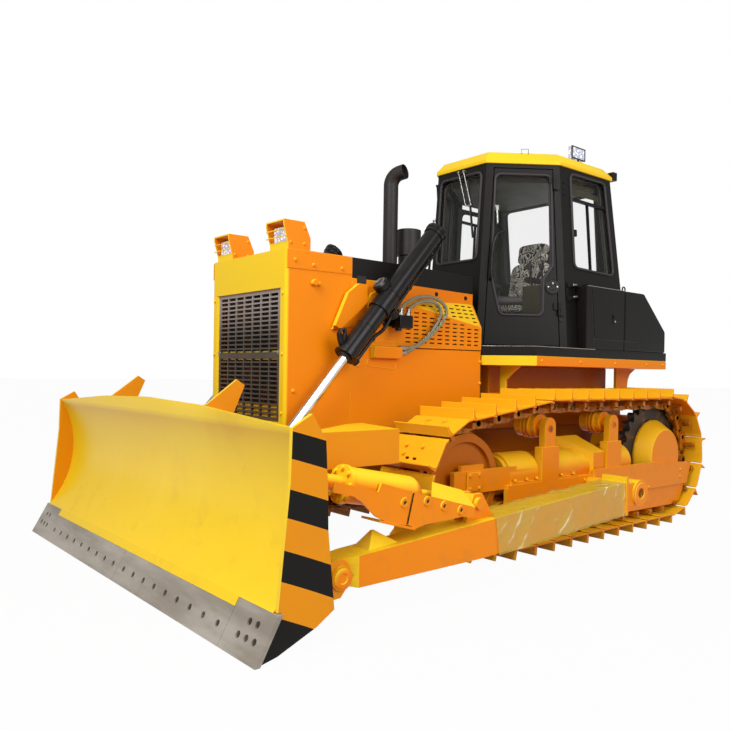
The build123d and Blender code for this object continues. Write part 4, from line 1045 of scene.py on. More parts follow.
def build_windows():
    """Seals of the windows and the sliding bars of the side windows."""
    frame_bead("door_seal", DOOR, DOOR_WINDOW, "door_left")
    frame_bead("side_seal", REAR_SIDE, SIDE_WINDOW)
    frame_bead("front_seal", FRONT_WALL, FRONT_WINDOW, twin=False)
    frame_bead("rear_seal", REAR_WALL, REAR_WINDOW, twin=False)
    bars = [strip("bars", REAR_SIDE, (0.128, 1.264), (0.612, 1.254), 0.026, -0.030, -0.006, 0.002),
            strip("bars", REAR_SIDE, (0.372, 1.250), (0.386, 0.680), 0.018, -0.034, -0.012, 0.002),
            strip("bars", REAR_SIDE, (0.138, 0.972), (0.170, 0.972), 0.056, -0.012, 0.014, 0.003)]
    both_sides(joined("window_bars", bars), "cab_black")


def wiper(name, plane, pivots, heels, blade):
    """Two parallel arms with the caps of their spindles, and a blade with its rubber."""
    arms = [wire(name, [on(plane, *pivot, 0.030), on(plane, *heel, 0.020)], 0.0042)
            for pivot, heel in zip(pivots, heels)]
    caps = [rod(name, on(plane, *pivot, 0.0), on(plane, *pivot, 0.038), 0.011, 16) for pivot in pivots]
    link_bar = wire(name, [on(plane, *heels[0], 0.020), on(plane, *heels[1], 0.020)], 0.005)
    holder = wire(name + "_blade", [on(plane, *blade[0], 0.014), on(plane, *blade[1], 0.014)], 0.0055)
    lip = strip(name + "_blade", plane, blade[0], blade[1], 0.004, -0.004, 0.012, 0.0)
    return joined(name, [*arms, *caps, link_bar]), joined(name + "_blade", [holder, lip])


def build_wipers():
    """Wipers of the front window and of the right door's window."""
    arms, blade = wiper("front_wiper", FRONT_WALL, [(0.285, 1.482), (0.345, 1.480)],
                        [(0.388, 1.182), (0.447, 1.180)], [(0.385, 1.400), (0.482, 0.905)])
    place_on(arms, "plated_steel")
    place_on(blade, "rubber")
    arms, blade = wiper("door_wiper", DOOR, [(0.200, 1.455), (0.236, 1.455)],
                        [(0.385, 1.130), (0.415, 1.120)], [(0.400, 1.330), (0.400, 0.830)])
    for piece, material in ((arms, "cab_black"), (blade, "rubber")):
        twin = mirrored(piece, piece.name + "_right")
        bpy.data.objects.remove(piece)
        place_on(twin, material, "door_right")


# Doors

def build_door_fittings():
    """Pull, grab rail, lock disc and hinge bolts of each door, and the catch on the pillar behind it."""
    foot, top = on(DOOR, 0.165, 1.010, 0.034), on(DOOR, 0.158, 1.146, 0.034)
    pull = [rod("pull", foot, top, 0.0085, 16),
            rod("pull", on(DOOR, 0.165, 1.016, 0.0), on(DOOR, 0.165, 1.016, 0.036), 0.010, 16),
            rod("pull", on(DOOR, 0.158, 1.140, 0.0), on(DOOR, 0.158, 1.140, 0.036), 0.012, 16),
            plate("pull", DOOR, rounded([(0.142, 1.118), (0.178, 1.118), (0.178, 1.164), (0.142, 1.164)],
                                        0.008),
                  0.0, 0.012, 0.002)]
    both_sides(joined("door_pull", pull), "plated_steel", "door_left")
    line = [(0.222, 0.942, 0.0), (0.220, 0.942, 0.030), (0.196, 0.938, 0.040), (0.165, 0.918, 0.040),
            (0.141, 0.868, 0.040), (0.125, 0.790, 0.040), (0.116, 0.680, 0.040), (0.113, 0.575, 0.040),
            (0.113, 0.556, 0.030), (0.113, 0.552, 0.0)]
    rail = wire("grab_rail", [on(DOOR, a, b, out) for a, b, out in line], 0.011, smooth=True, sides=16)
    both_sides(rail, "gloss_black", "door_left")
    disc = turned("lock_disc", on(DOOR, 0.629, 0.501), DOOR.out,
                  [(0, -0.002), (0.062, -0.002), (0.062, 0.006), (0.056, 0.010), (0.030, 0.010),
                   (0.026, 0.006), (0, 0.006)], 40)
    both_sides(disc, "gloss_black", "door_left")
    spots = [on(DOOR, a, b, 0.010) for a, b in ((0.592, 0.501), (0.666, 0.502), (0.629, 0.530))]
    both_sides(studs("lock_bolts", spots, DOOR.out, 0.0058, 0.005), "plated_steel", "door_left")
    spots = [on(DOOR, a, b) for a, b in ((0.639, 1.380), (0.646, 1.327), (0.646, 1.274), (0.693, 0.332),
                                         (0.693, 0.280), (0.698, 0.225))]
    both_sides(studs("hinge_bolts", spots, DOOR.out, 0.009, 0.007), "gloss_black", "door_left")
    pillar = [on(REAR_SIDE, a, b) for a, b in ((0.030, 1.376), (0.030, 1.326), (0.030, 1.276),
                                               (0.030, 0.332), (0.030, 0.280), (0.030, 0.228))]
    both_sides(studs("pillar_bolts", pillar, REAR_SIDE.out, 0.008, 0.006), "gloss_black")
    catch = [plate("catch", REAR_SIDE, outline, 0.0, high) for outline, high in (
        ([(0.012, 0.500), (0.128, 0.512), (0.128, 0.540), (0.012, 0.535)], 0.024),
        ([(0.012, 0.392), (0.128, 0.418), (0.128, 0.444), (0.012, 0.428)], 0.024),
        ([(0.008, 0.385), (0.046, 0.385), (0.046, 0.545), (0.008, 0.545)], 0.010))]
    both_sides(joined("box_catch", catch), "cab_black")
    pins = [rod("pins", on(REAR_SIDE, 0.075, b, 0.022), on(REAR_SIDE, 0.116, b + 0.004, 0.030), 0.010, 14)
            for b in (0.524, 0.426)]
    both_sides(joined("catch_pins", pins), "plated_steel")


# Cab inside

def lining_panel(name, plane, outer, window):
    """Moulded lining inside a wall, with its window's opening."""
    piece = plate(name, plane, outer, LINING_FAR, LINING_NEAR, 0.0)
    cut(piece, plate("opening", plane, rounded(window, WINDOW_R, 5), -0.2, 0.1, 0.0))
    return soften(piece, 0.004)


# How square a pad is, how far its sides pull in, and its sewn channels' half width and depth, all as shares
PAD_SQUARE, PAD_PULL, CHANNEL_WIDTH, CHANNEL_DEPTH = 5, 0.045, 0.10, 0.07


def pillow(name, low, high, seams=(), tilt=0.0, at=None):
    """Padded block: crowned faces, pulled-in sides and sewn channels across it."""
    low, high = Vector(low), Vector(high)
    middle, half = (low + high) / 2, (high - low) / 2
    bpy.ops.mesh.primitive_cube_add(size=2)
    piece = bpy.context.active_object
    edit(piece, lambda: bpy.ops.mesh.subdivide(number_cuts=11))
    for vertex in piece.data.vertices:
        x, y, z = vertex.co
        radius = max(sum(abs(value) ** PAD_SQUARE for value in (x, y, z)) ** (1 / PAD_SQUARE), 1e-6)
        spot = Vector((x, y, z)) / radius * max(abs(x), abs(y), abs(z))
        spot *= 1 - PAD_PULL * (1 - abs(spot.z)) * (abs(spot.x) ** 4 + abs(spot.y) ** 4)
        for seam in seams:
            dent = max(0.0, 1 - abs(spot.y - seam) / CHANNEL_WIDTH) if abs(spot.y) < 0.97 else 0.0
            spot.z -= CHANNEL_DEPTH * dent ** 2 * spot.z
        vertex.co = Vector((spot.x * half.x, spot.y * half.y, spot.z * half.z)) + middle
    worked(piece, "SUBSURF", levels=1, render_levels=1)
    piece = fresh(name)
    if tilt:
        pivot, turn = Vector(at), Matrix.Rotation(tilt, 4, "Y")
        piece.data.transform(Matrix.Translation(pivot) @ turn @ Matrix.Translation(-pivot))
    return shade(piece, 60)


def build_seat():
    """Cushion, back and head rest in one printed cover, on a black base."""
    lean, hip = radians(-8.5), (-1.20, 0, 1.90)
    cushion = pillow("seat_cushion", (-1.262, -0.250, 1.786), (-0.770, 0.250, 1.912), (-0.45, 0.45))
    back = pillow("seat_back", (-1.250, -0.232, 1.880), (-1.150, 0.232, 2.300), (), lean, hip)
    head = pillow("seat_head", (-1.245, -0.170, 2.296), (-1.160, 0.170, 2.480), (), lean, hip)
    for piece in (cushion, back, head):
        place_on(piece, "seat_cover")
    base = [block("seat_base", (-1.222, -0.240, 1.520), (-0.808, 0.240, 1.700), 0.012),
            block("seat_base", (-1.180, -0.180, 1.690), (-0.850, 0.180, 1.785), 0.020),
            plate("seat_base", SIDE, [(-1.265, 1.800), (-1.235, 1.800), (-1.300, 2.420), (-1.330, 2.420)],
                  -0.180, 0.180, 0.010)]
    place_on(joined("seat_base", base), "rubber", "root", "cab_plastic", ("seat",))
    rests = [block("arm_rest", (-1.130, y - 0.028, 2.060), (-0.830, y + 0.028, 2.105), 0.014)
             for y in (-0.285, 0.285)]
    rests += [rod("arm_rest", (-1.120, y, 1.90), (-1.120, y, 2.065), 0.012, 14) for y in (-0.285, 0.285)]
    place_on(joined("arm_rests", rests), "rubber", "root", "cab_plastic")


def build_cab_inside():
    """Lining of roof, doors and sides, levers, pedals, the dashboard's dials and the doors' pockets."""
    roof = [(x + 0.10 * (1 if x < -1 else -0.9), y - 0.085) for x, y in CAB_HEAD]
    outline = [*roof, *[(x, -y) for x, y in reversed(roof)]]
    lining_roof = plate("roof_lining", TOP, outline, 2.868, 2.918, 0.016)
    place_on(lining_roof, "cab_lining")
    inner = [(0.045, 1.395), (0.700, 1.395), (0.735, 0.600), (0.735, 0.180), (0.090, 0.180), (0.075, 0.500)]
    both_sides(lining_panel("door_lining", DOOR, inner, DOOR_WINDOW), "cab_lining", "door_left")
    inner = [(0.060, 1.375), (0.680, 1.375), (0.760, 0.600), (0.100, 0.600)]
    small = [(0.131, 1.330), (0.600, 1.330), (0.675, 0.690), (0.141, 0.700)]
    both_sides(lining_panel("side_lining", REAR_SIDE, inner, small), "cab_lining")
    section = [(0, 0), (0.034, 0), (0.034, 0.006), (0.028, 0.008), (0.027, 0.003), (0, 0.003)]
    dials = [turned("dials", (-0.502, y, 1.950), (-1, 0, 0.0), section, 24)
             for y in (-0.120, -0.040, 0.040, 0.120)]
    place_on(joined("dials", dials), "plated_steel", "root", "cab_plastic")
    levers = []
    for x, y, lean in ((-0.800, 0.380, 0.03), (-0.860, 0.450, 0.02), (-0.800, -0.380, 0.03),
                       (-0.870, -0.440, 0.0), (-0.930, -0.440, 0.0)):
        levers.append(rod("levers", (x, y, 2.000), (x + lean, y, 2.150), 0.0085, 12))
        levers.append(turned("levers", (x + lean, y, 2.145), (lean, 0, 0.15),
                             [(0, 0), (0.014, 0), (0.021, 0.018), (0.021, 0.045), (0.013, 0.062),
                              (0, 0.066)], 18))
    place_on(joined("levers", levers), "rubber", "root", "cab_plastic")
    outline = [(-0.560, 1.560), (-0.540, 1.552), (-0.500, 1.668), (-0.520, 1.676)]
    pedals = [plate("pedals", SIDE, outline, y, y + 0.09) for y in (-0.190, -0.050, 0.090)]
    place_on(joined("pedals", pedals), "dark_iron", "root", "cab_plastic")
    pocket = rod("door_pocket", on(DOOR, 0.150, 0.395, -0.118), on(DOOR, 0.400, 0.400, -0.118), 0.036, 28,
                 0.008)
    both_sides(pocket, "seal_rubber", "door_left", "cab_plastic")


# Roof

def build_roof_fittings():
    """Rim, lenses, fins and bracket of the work lamp, the roof's loop and rear box, and the tank's eyes."""
    (x0, y0, z0), (x1, y1, z1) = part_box("work_lamp")
    z0 += 0.020
    rim = [block("lamp_rim", (x0 - 0.004, y1 - 0.006, z), (x1 + 0.004, y1 + 0.006, z + 0.008), 0.001)
           for z in (z0 - 0.002, z1 - 0.008)]
    rim += [block("lamp_rim", (x, y1 - 0.006, z0), (x + 0.008, y1 + 0.006, z1), 0.001)
            for x in (x0 - 0.004, x1 - 0.004)]
    place_on(joined("lamp_rim", rim), "seal_rubber")
    lenses = [turned("lamp_lenses", (x0 + 0.034 + 0.056 * i, y1 - 0.001, z0 + 0.030 + 0.044 * j), (0, 1, 0),
                     [(0, 0), (0.019, 0), (0.019, 0.003), (0.014, 0.005), (0, 0.0055)], 20)
              for i in range(3) for j in range(2)]
    place_on(joined("lamp_lenses", lenses), "lamp_glass")
    back = [block("lamp_fins", (x0 + 0.012 + 0.020 * i, y0 - 0.010, z0 + 0.008),
                  (x0 + 0.018 + 0.020 * i, y0 + 0.004, z1 - 0.008), 0.001) for i in range(8)]
    place_on(joined("lamp_fins", back), "gloss_black")
    outline = [(x0 + 0.045, z0 - 0.030), (x0 + 0.075, z0 - 0.030), (x0 + 0.100, z0 + 0.004),
               (x0 + 0.082, z0 + 0.016)]
    legs = [plate("lamp_bracket", side_at(y), outline, 0.0, 0.006) for y in (y0 + 0.002, y1 - 0.012)]
    place_on(joined("lamp_bracket", legs), "gloss_black")
    loop = wire("roof_loop", [(-0.560, 0.440, 3.078), (-0.560, 0.440, 3.118), (-0.600, 0.480, 3.118),
                              (-0.600, 0.480, 3.078)], 0.0035)
    place_on(loop, "plated_steel")
    beacon = block("rear_box", (-1.566, 0.628, 2.992), (-1.504, 0.700, 3.066), 0.006)
    place_on(beacon, "cab_black")
    shell = turned("eye", (-1.702, 0.700, 1.990), (0, 0, 1),
                   [(0, 0), (0.018, 0), (0.018, 0.010), (0.010, 0.016), (0.010, 0.030), (0, 0.030)], 20)
    ring = [(-1.702 + 0.022 * cos(a), 0.700, 2.040 + 0.022 * sin(a)) for a in angles(20)]
    both_sides(joined("lifting_eye", [shell, wire("eye", ring, 0.0065, True)]), "dark_iron")


# Tank and boxes

def build_box_fittings():
    """Seams, lid edges, locks and cap of the tank and the side boxes."""
    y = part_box("side_boxes")[1][1]
    wall_face = side_at(y)
    seams = [((-1.036, 1.560), (-1.690, 1.560)), ((-0.996, 1.930), (-1.036, 1.484)),
             ((-1.692, 1.560), (-1.704, 1.484))]
    # Black strips along the boxes' seams: painted shadow in the gaps
    lines = [strip("box_seams", wall_face, *pair, 0.0045, -0.0005, 0.0014, 0.0) for pair in seams]
    both_sides(joined("box_seams", lines), "rubber")
    for name, outline in (("box_lid", [(-1.480, 1.975), (-1.004, 1.975), (-1.048, 1.575), (-1.480, 1.575)]),
                          ("tank_lid", [(-1.500, 1.975), (-1.800, 1.975), (-2.140, 1.650), (-2.140, 1.575),
                                        (-1.500, 1.575)])):
        both_sides(plate(name, wall_face, rounded(outline, 0.012), -0.001, 0.0025, 0.0015), "cab_black")
    outline = rounded([(-1.300, 1.790), (-1.350, 1.790), (-1.362, 1.690), (-1.312, 1.690)], 0.012)
    lock = [plate("lock", wall_face, outline, 0.002, 0.006, 0.001),
            turned("lock", (-1.324, y + 0.006, 1.760), (0, 1, 0),
                   [(0, 0), (0.013, 0), (0.013, 0.006), (0, 0.006)], 18)]
    both_sides(joined("box_lock", lock), "gloss_black")
    keys = studs("lock_key", [(-1.336, y + 0.006, 1.722)], (0, 1, 0), 0.0075, 0.006)
    both_sides(keys, "plated_steel")
    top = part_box("side_boxes")[1][2]
    edge = wire("box_edge", [(-0.940, y - 0.001, top - 0.001), (-1.490, y - 0.001, top - 0.001)], 0.0028)
    both_sides(edge, "plated_steel", slot="edge_steel")
    straps = [block("straps", (-1.090, y - 0.055, top - 0.002), (-0.940, y - 0.025, top + 0.010), 0.003),
              rod("straps", (-0.975, y - 0.062, top + 0.012), (-0.975, y - 0.018, top + 0.012), 0.008, 14)]
    both_sides(joined("lid_hinge", straps), "gloss_black")
    cap = turned("tank_cap", (-1.650, 0.0, top - 0.004), (0, 0, 1),
                 [(0, 0), (0.075, 0), (0.075, 0.018), (0.060, 0.026), (0.060, 0.050), (0.052, 0.058),
                  (0, 0.060)], 36)
    place_on(cap, "gloss_black")


def build_deck_fittings():
    """Worn bright edge of the platform and the bolts under it."""
    x1, y1, z1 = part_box("platform")[1]
    edge = wire("deck_edge", [(x1 - 0.002, 0.492, z1 - 0.001), (-0.298, y1 - 0.001, z1 - 0.001),
                              (-1.060, y1 - 0.001, z1 - 0.001)], 0.0032)
    both_sides(edge, "plated_steel", slot="edge_steel")
    spots = [(x, y1, 1.364) for x in (-0.36, -0.86, -1.36, -1.86, -2.14)]
    both_sides(studs("deck_bolts", spots, (0, 1, 0), 0.010, 0.007), "body_paint")


# Hood

def build_hood_fittings():
    """Lip and bosses of the guard, the hood's bolts, panels, seams and notch, and what lies inside, with
    painted shadow in the seams and a dark sheet of painted shade behind the vents.
    """
    y = HOOD_HALF
    plane = side_at(y)
    cover = plate("guard_lip", plane, [(1.199, 1.901), (1.700, 1.896), (1.700, 2.014), (1.199, 2.014)],
                  -0.001, 0.0045, 0.0015)
    both_sides(cover, "body_paint")
    spots = [(1.640, y + 0.004, 1.950), (1.503, y + 0.004, 1.930), (1.281, y + 0.004, 1.932),
             (1.135, y, 1.299), (1.240, y, 1.690), (1.640, y, 1.130), (-0.050, y, 1.348),
             (-0.050, y, 1.183), (-0.050, y, 1.020)]
    both_sides(studs("hood_bolts", spots, (0, 1, 0), 0.011, 0.009), "body_paint")
    boss = [rod("bosses", (1.500, y - 0.002, 1.820), (1.500, y + 0.030, 1.820), 0.021, 24, 0.004),
            rod("bosses", (1.462, y - 0.002, 1.814), (1.462, y + 0.022, 1.814), 0.013, 20, 0.003),
            block("bosses", (1.462, y - 0.002, 1.806), (1.500, y + 0.012, 1.832), 0.004)]
    both_sides(joined("guard_boss", boss), "body_paint")
    outline = rounded([(1.077, 1.850), (1.156, 1.843), (1.156, 1.900), (1.077, 1.900)], 0.008)
    both_sides(plate("cable_notch", plane, outline, -0.001, 0.0015, 0.0), "rubber")
    outline = rounded([(0.806, 1.279), (1.060, 1.298), (1.060, 1.344), (0.806, 1.344)], 0.020, 5)
    both_sides(bead("access_edge", plane, outline, 0.0032, 0.0005), "body_paint")
    panel = plate("access_panel", plane, outline, -0.001, 0.0018, 0.0008)
    both_sides(panel, "body_paint")
    outline = rounded([(0.816, 1.440), (1.030, 1.440), (1.018, 1.468), (0.822, 1.470)], 0.012, 5)
    both_sides(bead("upper_access_edge", plane, outline, 0.0028, 0.0005), "body_paint")
    # Dark strips along the hood's seams: painted shadow in the gaps
    seams = [strip("hood_seams", plane, (-0.058, 1.436), (0.735, 1.430), 0.007, -0.0005, 0.0016, 0.0),
             strip("hood_seams", plane, (-0.058, 0.900), (-0.058, 1.430), 0.004, -0.0005, 0.0012, 0.0)]
    both_sides(joined("hood_seams", seams), "seam_shade")
    spots = [(x, half, 1.842) for x, half in ((0.386, 0.4466), (0.032, 0.4016))]
    both_sides(studs("vent_bolts", spots, (0, 1, 0), 0.012, 0.010), "gloss_black")
    # Dark sheet behind the vents: painted shade inside the hood
    inside = block("vent_lining", (-0.040, 0.318, 1.300), (0.980, 0.324, 1.960))
    both_sides(inside, "dark_iron", slot="core_black")
    low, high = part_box("grille")
    middle = (low[2] + high[2]) / 2
    behind = low[0] - 0.004
    bars = [block("grille_bars", (behind - 0.012, low[1] + 0.02, z0), (behind, high[1] - 0.02, z1), 0.002)
            for z0, z1 in ((middle - 0.030, middle + 0.030), (low[2] + 0.01, low[2] + 0.105))]
    place_on(joined("grille_bars", bars), "body_paint")
    spots = [(high[0] - 0.001, y, middle + 0.020) for y in (low[1] + 0.012, high[1] - 0.012)]
    place_on(studs("grille_bolts", spots, (1, 0, 0), 0.011, 0.010), "plated_steel", "root", "edge_steel")
    guard_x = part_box("radiator_guard")[1][0]
    spots = [(guard_x - 0.001, y, z) for y in (-0.455, 0.455) for z in (0.99, 1.36, 1.74)]
    place_on(studs("front_bolts", spots, (1, 0, 0), 0.011, 0.008), "body_paint")


def build_lamp_fittings():
    """Louvre bars and bolts of the head lamps' guards."""
    for low, high in ((0.250, 0.470), (-0.470, -0.250)):
        side = "left" if low > 0 else "right"
        bars = [block("louvre", (1.694, low - 0.014, z), (1.702, high - 0.004, z + 0.007), 0.002)
                for z in (2.092, 2.138)]
        place_on(joined(f"lamp_louvres_{side}", bars), "body_paint")
        spots = [(1.560, high, z) for z in (2.060, 2.160)] + [(1.660, high, 2.060)]
        place_on(studs(f"lamp_bolts_{side}", spots, (0, 1, 0), 0.009, 0.006), "body_paint")


# Lift cylinders

LIFT_LENGTH = hypot(LIFT_EYE[0] - LIFT_T[0], LIFT_EYE[1] - LIFT_T[1])
LIFT_DIR = Vector(((LIFT_EYE[0] - LIFT_T[0]) / LIFT_LENGTH, 0, (LIFT_EYE[1] - LIFT_T[1]) / LIFT_LENGTH))
LIFT_OUT = Vector((-LIFT_DIR.z, 0, LIFT_DIR.x))


def lift_at(along, out=0.0, aside=0.0):
    """Point by the left cylinder: along it from the trunnion, out from its upper face, and to the left."""
    return Vector((LIFT_T[0], LIFT_Y + aside, LIFT_T[1])) + LIFT_DIR * along + LIFT_OUT * out


def band(name, start, end, radius):
    """Ring round the left barrel."""
    return rod(name, lift_at(start), lift_at(end), radius, 48, 0.002)


# Pipes under the barrel, as distances along it and out from the pipes' level
PIPE_RUNS = (
    ((-0.690, 0.026), (-0.672, 0), (-0.640, -0.006), (-0.300, 0), (-0.060, -0.004), (-0.010, -0.012)),
    ((0.020, -0.014), (0.110, -0.030), (0.170, -0.022), (0.220, -0.002), (0.300, 0), (0.440, 0),
     (0.462, 0.006), (0.466, 0.026)),
)
# Their block and clamps: place along the barrel, top, drop below the pipes, radius, sides and rounding
PIPE_BLOCKS = ((0.002, -0.076, 0.044, 0.034, 24, 0.004), (-0.500, -0.058, 0.014, 0.015, 16, 0.0015),
               (-0.230, -0.058, 0.014, 0.015, 16, 0.0015), (0.250, -0.058, 0.014, 0.015, 16, 0.0015),
               (0.455, -0.050, 0.012, 0.026, 20, 0.003))
# Bands round the barrel: start and end along it, and radius
BANDS = ((-0.716, -0.690, 0.078), (-0.690, -0.660, 0.074), (-0.078, -0.070, 0.078), (0.070, 0.078, 0.078),
         (0.225, 0.233, 0.0685), (0.430, 0.436, 0.0695), (0.468, 0.4845, 0.079))


def build_cylinders():
    """Bands, bolts, breather, pipes, ear and gland of the lift barrels."""
    parts = [band("bands", *row) for row in BANDS]
    ends = [studs("bands", [lift_at(-0.716) + Vector((0, 0.055 * cos(a), 0)) + LIFT_OUT * 0.055 * sin(a)
                            for a in (pi / 4 + pi / 2 * i for i in range(4))], -LIFT_DIR, 0.010, 0.010)]
    both_sides(joined("barrel_bands", parts + ends), "gloss_black", "lift_barrel_left")
    disc = turned("valve", lift_at(-0.075, 0.060, -0.010), LIFT_OUT,
                  [(0, 0), (0.050, 0), (0.058, 0.012), (0.058, 0.050), (0.046, 0.060), (0.040, 0.054),
                   (0, 0.054)], 36)
    neck = rod("valve", lift_at(-0.075, 0.058, -0.010), lift_at(-0.075, 0.066, -0.010), 0.040, 24, 0.003)
    both_sides(joined("breather", [disc, neck]), "gloss_black", "lift_barrel_left")
    face_ring = turned("breather_rim", lift_at(-0.075, 0.118, -0.010), LIFT_OUT,
                       [(0, 0), (0.044, 0), (0.044, 0.003), (0.036, 0.005), (0.034, 0.002), (0, 0.002)], 36)
    both_sides(face_ring, "plated_steel", "lift_barrel_left")
    pipes = [wire("pipes", [lift_at(along, PIPE_UNDER + out) for along, out in run], PIPE_R, smooth=True,
                  sides=16) for run in PIPE_RUNS]
    blocks = [rod("pipes", lift_at(along, top), lift_at(along, PIPE_UNDER - drop), radius, sides, rounding)
              for along, top, drop, radius, sides, rounding in PIPE_BLOCKS]
    both_sides(joined("barrel_pipes", pipes + blocks), "gloss_black", "lift_barrel_left")
    corners = ((0.395, 0.060), (0.345, 0.118), (0.375, 0.150), (0.420, 0.140), (0.470, 0.070))
    outline = rounded([tuple(lift_at(along, out)[i] for i in (0, 2)) for along, out in corners], 0.020)
    ear = plate("barrel_ear", side_at(LIFT_Y - 0.012), outline, 0.0, 0.024)
    hole = rod("hole", lift_at(0.388, 0.118, -0.05), lift_at(0.388, 0.118, 0.05), 0.014, 20)
    cut(ear, hole)
    both_sides(ear, "gloss_black", "lift_barrel_left")
    gland = [band("gland", 0.4855, 0.494, 0.050), band("gland", 0.494, 0.500, 0.043)]
    both_sides(joined("rod_gland", gland), "rubber", "lift_barrel_left")


HOSE_R = 0.013
HOSES = (
    ((0.948, 0.600, 1.664), (0.874, 0.575, 1.629), (0.829, 0.560, 1.656), (0.814, 0.552, 1.708),
     (0.740, 0.534, 1.756), (0.625, 0.532, 1.802), (0.489, 0.532, 1.807), (0.385, 0.532, 1.764),
     (0.353, 0.532, 1.707), (0.384, 0.532, 1.646), (0.458, 0.530, 1.572), (0.550, 0.528, 1.494),
     (0.640, 0.524, 1.449), (0.713, 0.518, 1.428), (0.786, 0.515, 1.425)),
    ((0.811, 0.566, 1.639), (0.781, 0.566, 1.633), (0.763, 0.560, 1.656), (0.749, 0.552, 1.698),
     (0.693, 0.536, 1.735), (0.608, 0.532, 1.769), (0.501, 0.532, 1.774), (0.430, 0.532, 1.744),
     (0.414, 0.532, 1.697), (0.442, 0.532, 1.635), (0.503, 0.530, 1.560), (0.572, 0.528, 1.491),
     (0.658, 0.524, 1.442), (0.721, 0.518, 1.401), (0.786, 0.515, 1.388)),
)


def build_hoses():
    """Two hoses a side from the cylinder's block to the manifold on the hood, with their crimped ends."""
    for side, sign in SIDES.items():
        for number, route in enumerate(HOSES, 1):
            points = [(x, y * sign, z) for x, y, z in reversed(route)]
            piece = curve(f"hose_{side}_{number}", points, HOSE_R, smooth=True, sides=16)
            place_on(piece, "hose_guard")
            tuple(points[0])
    ends = []
    for route in HOSES:
        for first, second in ((route[2], route[3]), (route[-1], route[-2])):
            first, way = Vector(first), (Vector(second) - Vector(first)).normalized()
            ends.append(rod("ends", first - way * 0.012, first + way * 0.044, 0.0165, 20, 0.002))
            ends.append(rod("ends", first - way * 0.014, first + way * 0.012, 0.0215, 6, 0.0015))
    both_sides(joined("hose_ends", ends), "plated_steel")
    body = [block("valve_block", (0.760, 0.520, 1.560), (0.880, 0.620, 1.650), 0.010),
            rod("valve_block", (0.830, 0.500, 1.600), (0.830, 0.560, 1.600), 0.034, 24),
            rod("valve_block", (0.880, 0.600, 1.560), (0.880, 0.600, 1.540), 0.022, 20),
            block("valve_block", (0.780, 0.489, 1.575), (0.930, 0.505, 1.700), 0.006)]
    both_sides(joined("valve_block", body), "gloss_black")


# Undercarriage

def build_undercarriage():
    """Bolts, caps and oil plugs of the track frames, rollers and final drives."""
    y = FRAME_OUT
    out = (0, 1, 0)
    cover = [(x, 1.110, 0.5215) for x in (0.235, 0.110, 0.000, -0.290, -0.430, -1.090, -1.200)]
    frame_bolts = [(x, y, 0.462) for x in (-0.560, -0.620)]
    frame_bolts += [(x, y + 0.02, 0.430) for x in (-0.760, -0.860)]
    guard = [(-1.446, y + 0.019, 0.330), (-1.960, y + 0.019, 0.440), (-1.960, y + 0.019, 0.380)]
    both_sides(studs("frame_bolts", frame_bolts + guard, out, 0.013, 0.011), "track_paint")
    both_sides(studs("cover_bolts", cover, (0, 0, 1), 0.012, 0.012), "track_paint")
    holes = rings("oil_plugs", [(x, CARRIER_OUT, 0.868) for x in CARRIER_XS] + [(0.600, 1.090, 0.545)], out,
                  0.024, 0.014, 0.005)
    both_sides(holes, "chain_paint")
    centre = Vector((SPROCKET[0], DRIVE_OUT, SPROCKET[1]))
    circle = [centre + Vector((0.185 * cos(a), 0, 0.185 * sin(a))) for a in angles(12)]
    hub = turned("hub", centre, out, [(0, -0.003), (0.120, -0.003), (0.118, 0.0), (0.052, 0.0),
                                      (0.046, 0.0008), (0, 0.0008)], 48)
    plug = studs("hub", [centre + Vector((0.080, 0, 0.040))], out, 0.014, 0.001)
    both_sides(joined("drive_cap", [hub, plug]), "track_paint")
    both_sides(studs("drive_bolts", [spot - Vector((0, 0.010, 0)) for spot in circle], out, 0.012, 0.009),
               "track_paint")
    low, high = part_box("bottom_rollers")
    first, run = low[0] + ROLLER_R, high[0] - low[0] - 2 * ROLLER_R
    spots = [(first + run * i / (ROLLERS - 1), high[1] - 0.002, (low[2] + high[2]) / 2)
             for i in range(ROLLERS)]
    outline = [(0, 0), (0.038, 0), (0.038, 0.006), (0.030, 0.010), (0.012, 0.010), (0.010, 0.006),
               (0, 0.006)]
    both_sides(repeated("roller_caps", spots, out, outline, 28), "track_paint")
    both_sides(block("idler_block", (0.566, 1.090, 0.486), (0.700, 1.106, 0.612), 0.006), "track_paint")
    spots = [(x, 1.106, z) for x in (0.590, 0.676) for z in (0.506, 0.592)]
    both_sides(studs("idler_bolts", spots, out, 0.012, 0.009), "track_paint")


# Blade and arms

EDGE_TOP_AT, EDGE_TIP_AT = (2.459, 0.206), (2.570, 0.0)
EDGE = face((EDGE_TIP_AT[0], 0, EDGE_TIP_AT[1]), (0, 1, 0),
            (EDGE_TOP_AT[0] - EDGE_TIP_AT[0], 0, EDGE_TOP_AT[1]))
HOLE_PITCH, HOLE_UP = 0.1485, 0.088


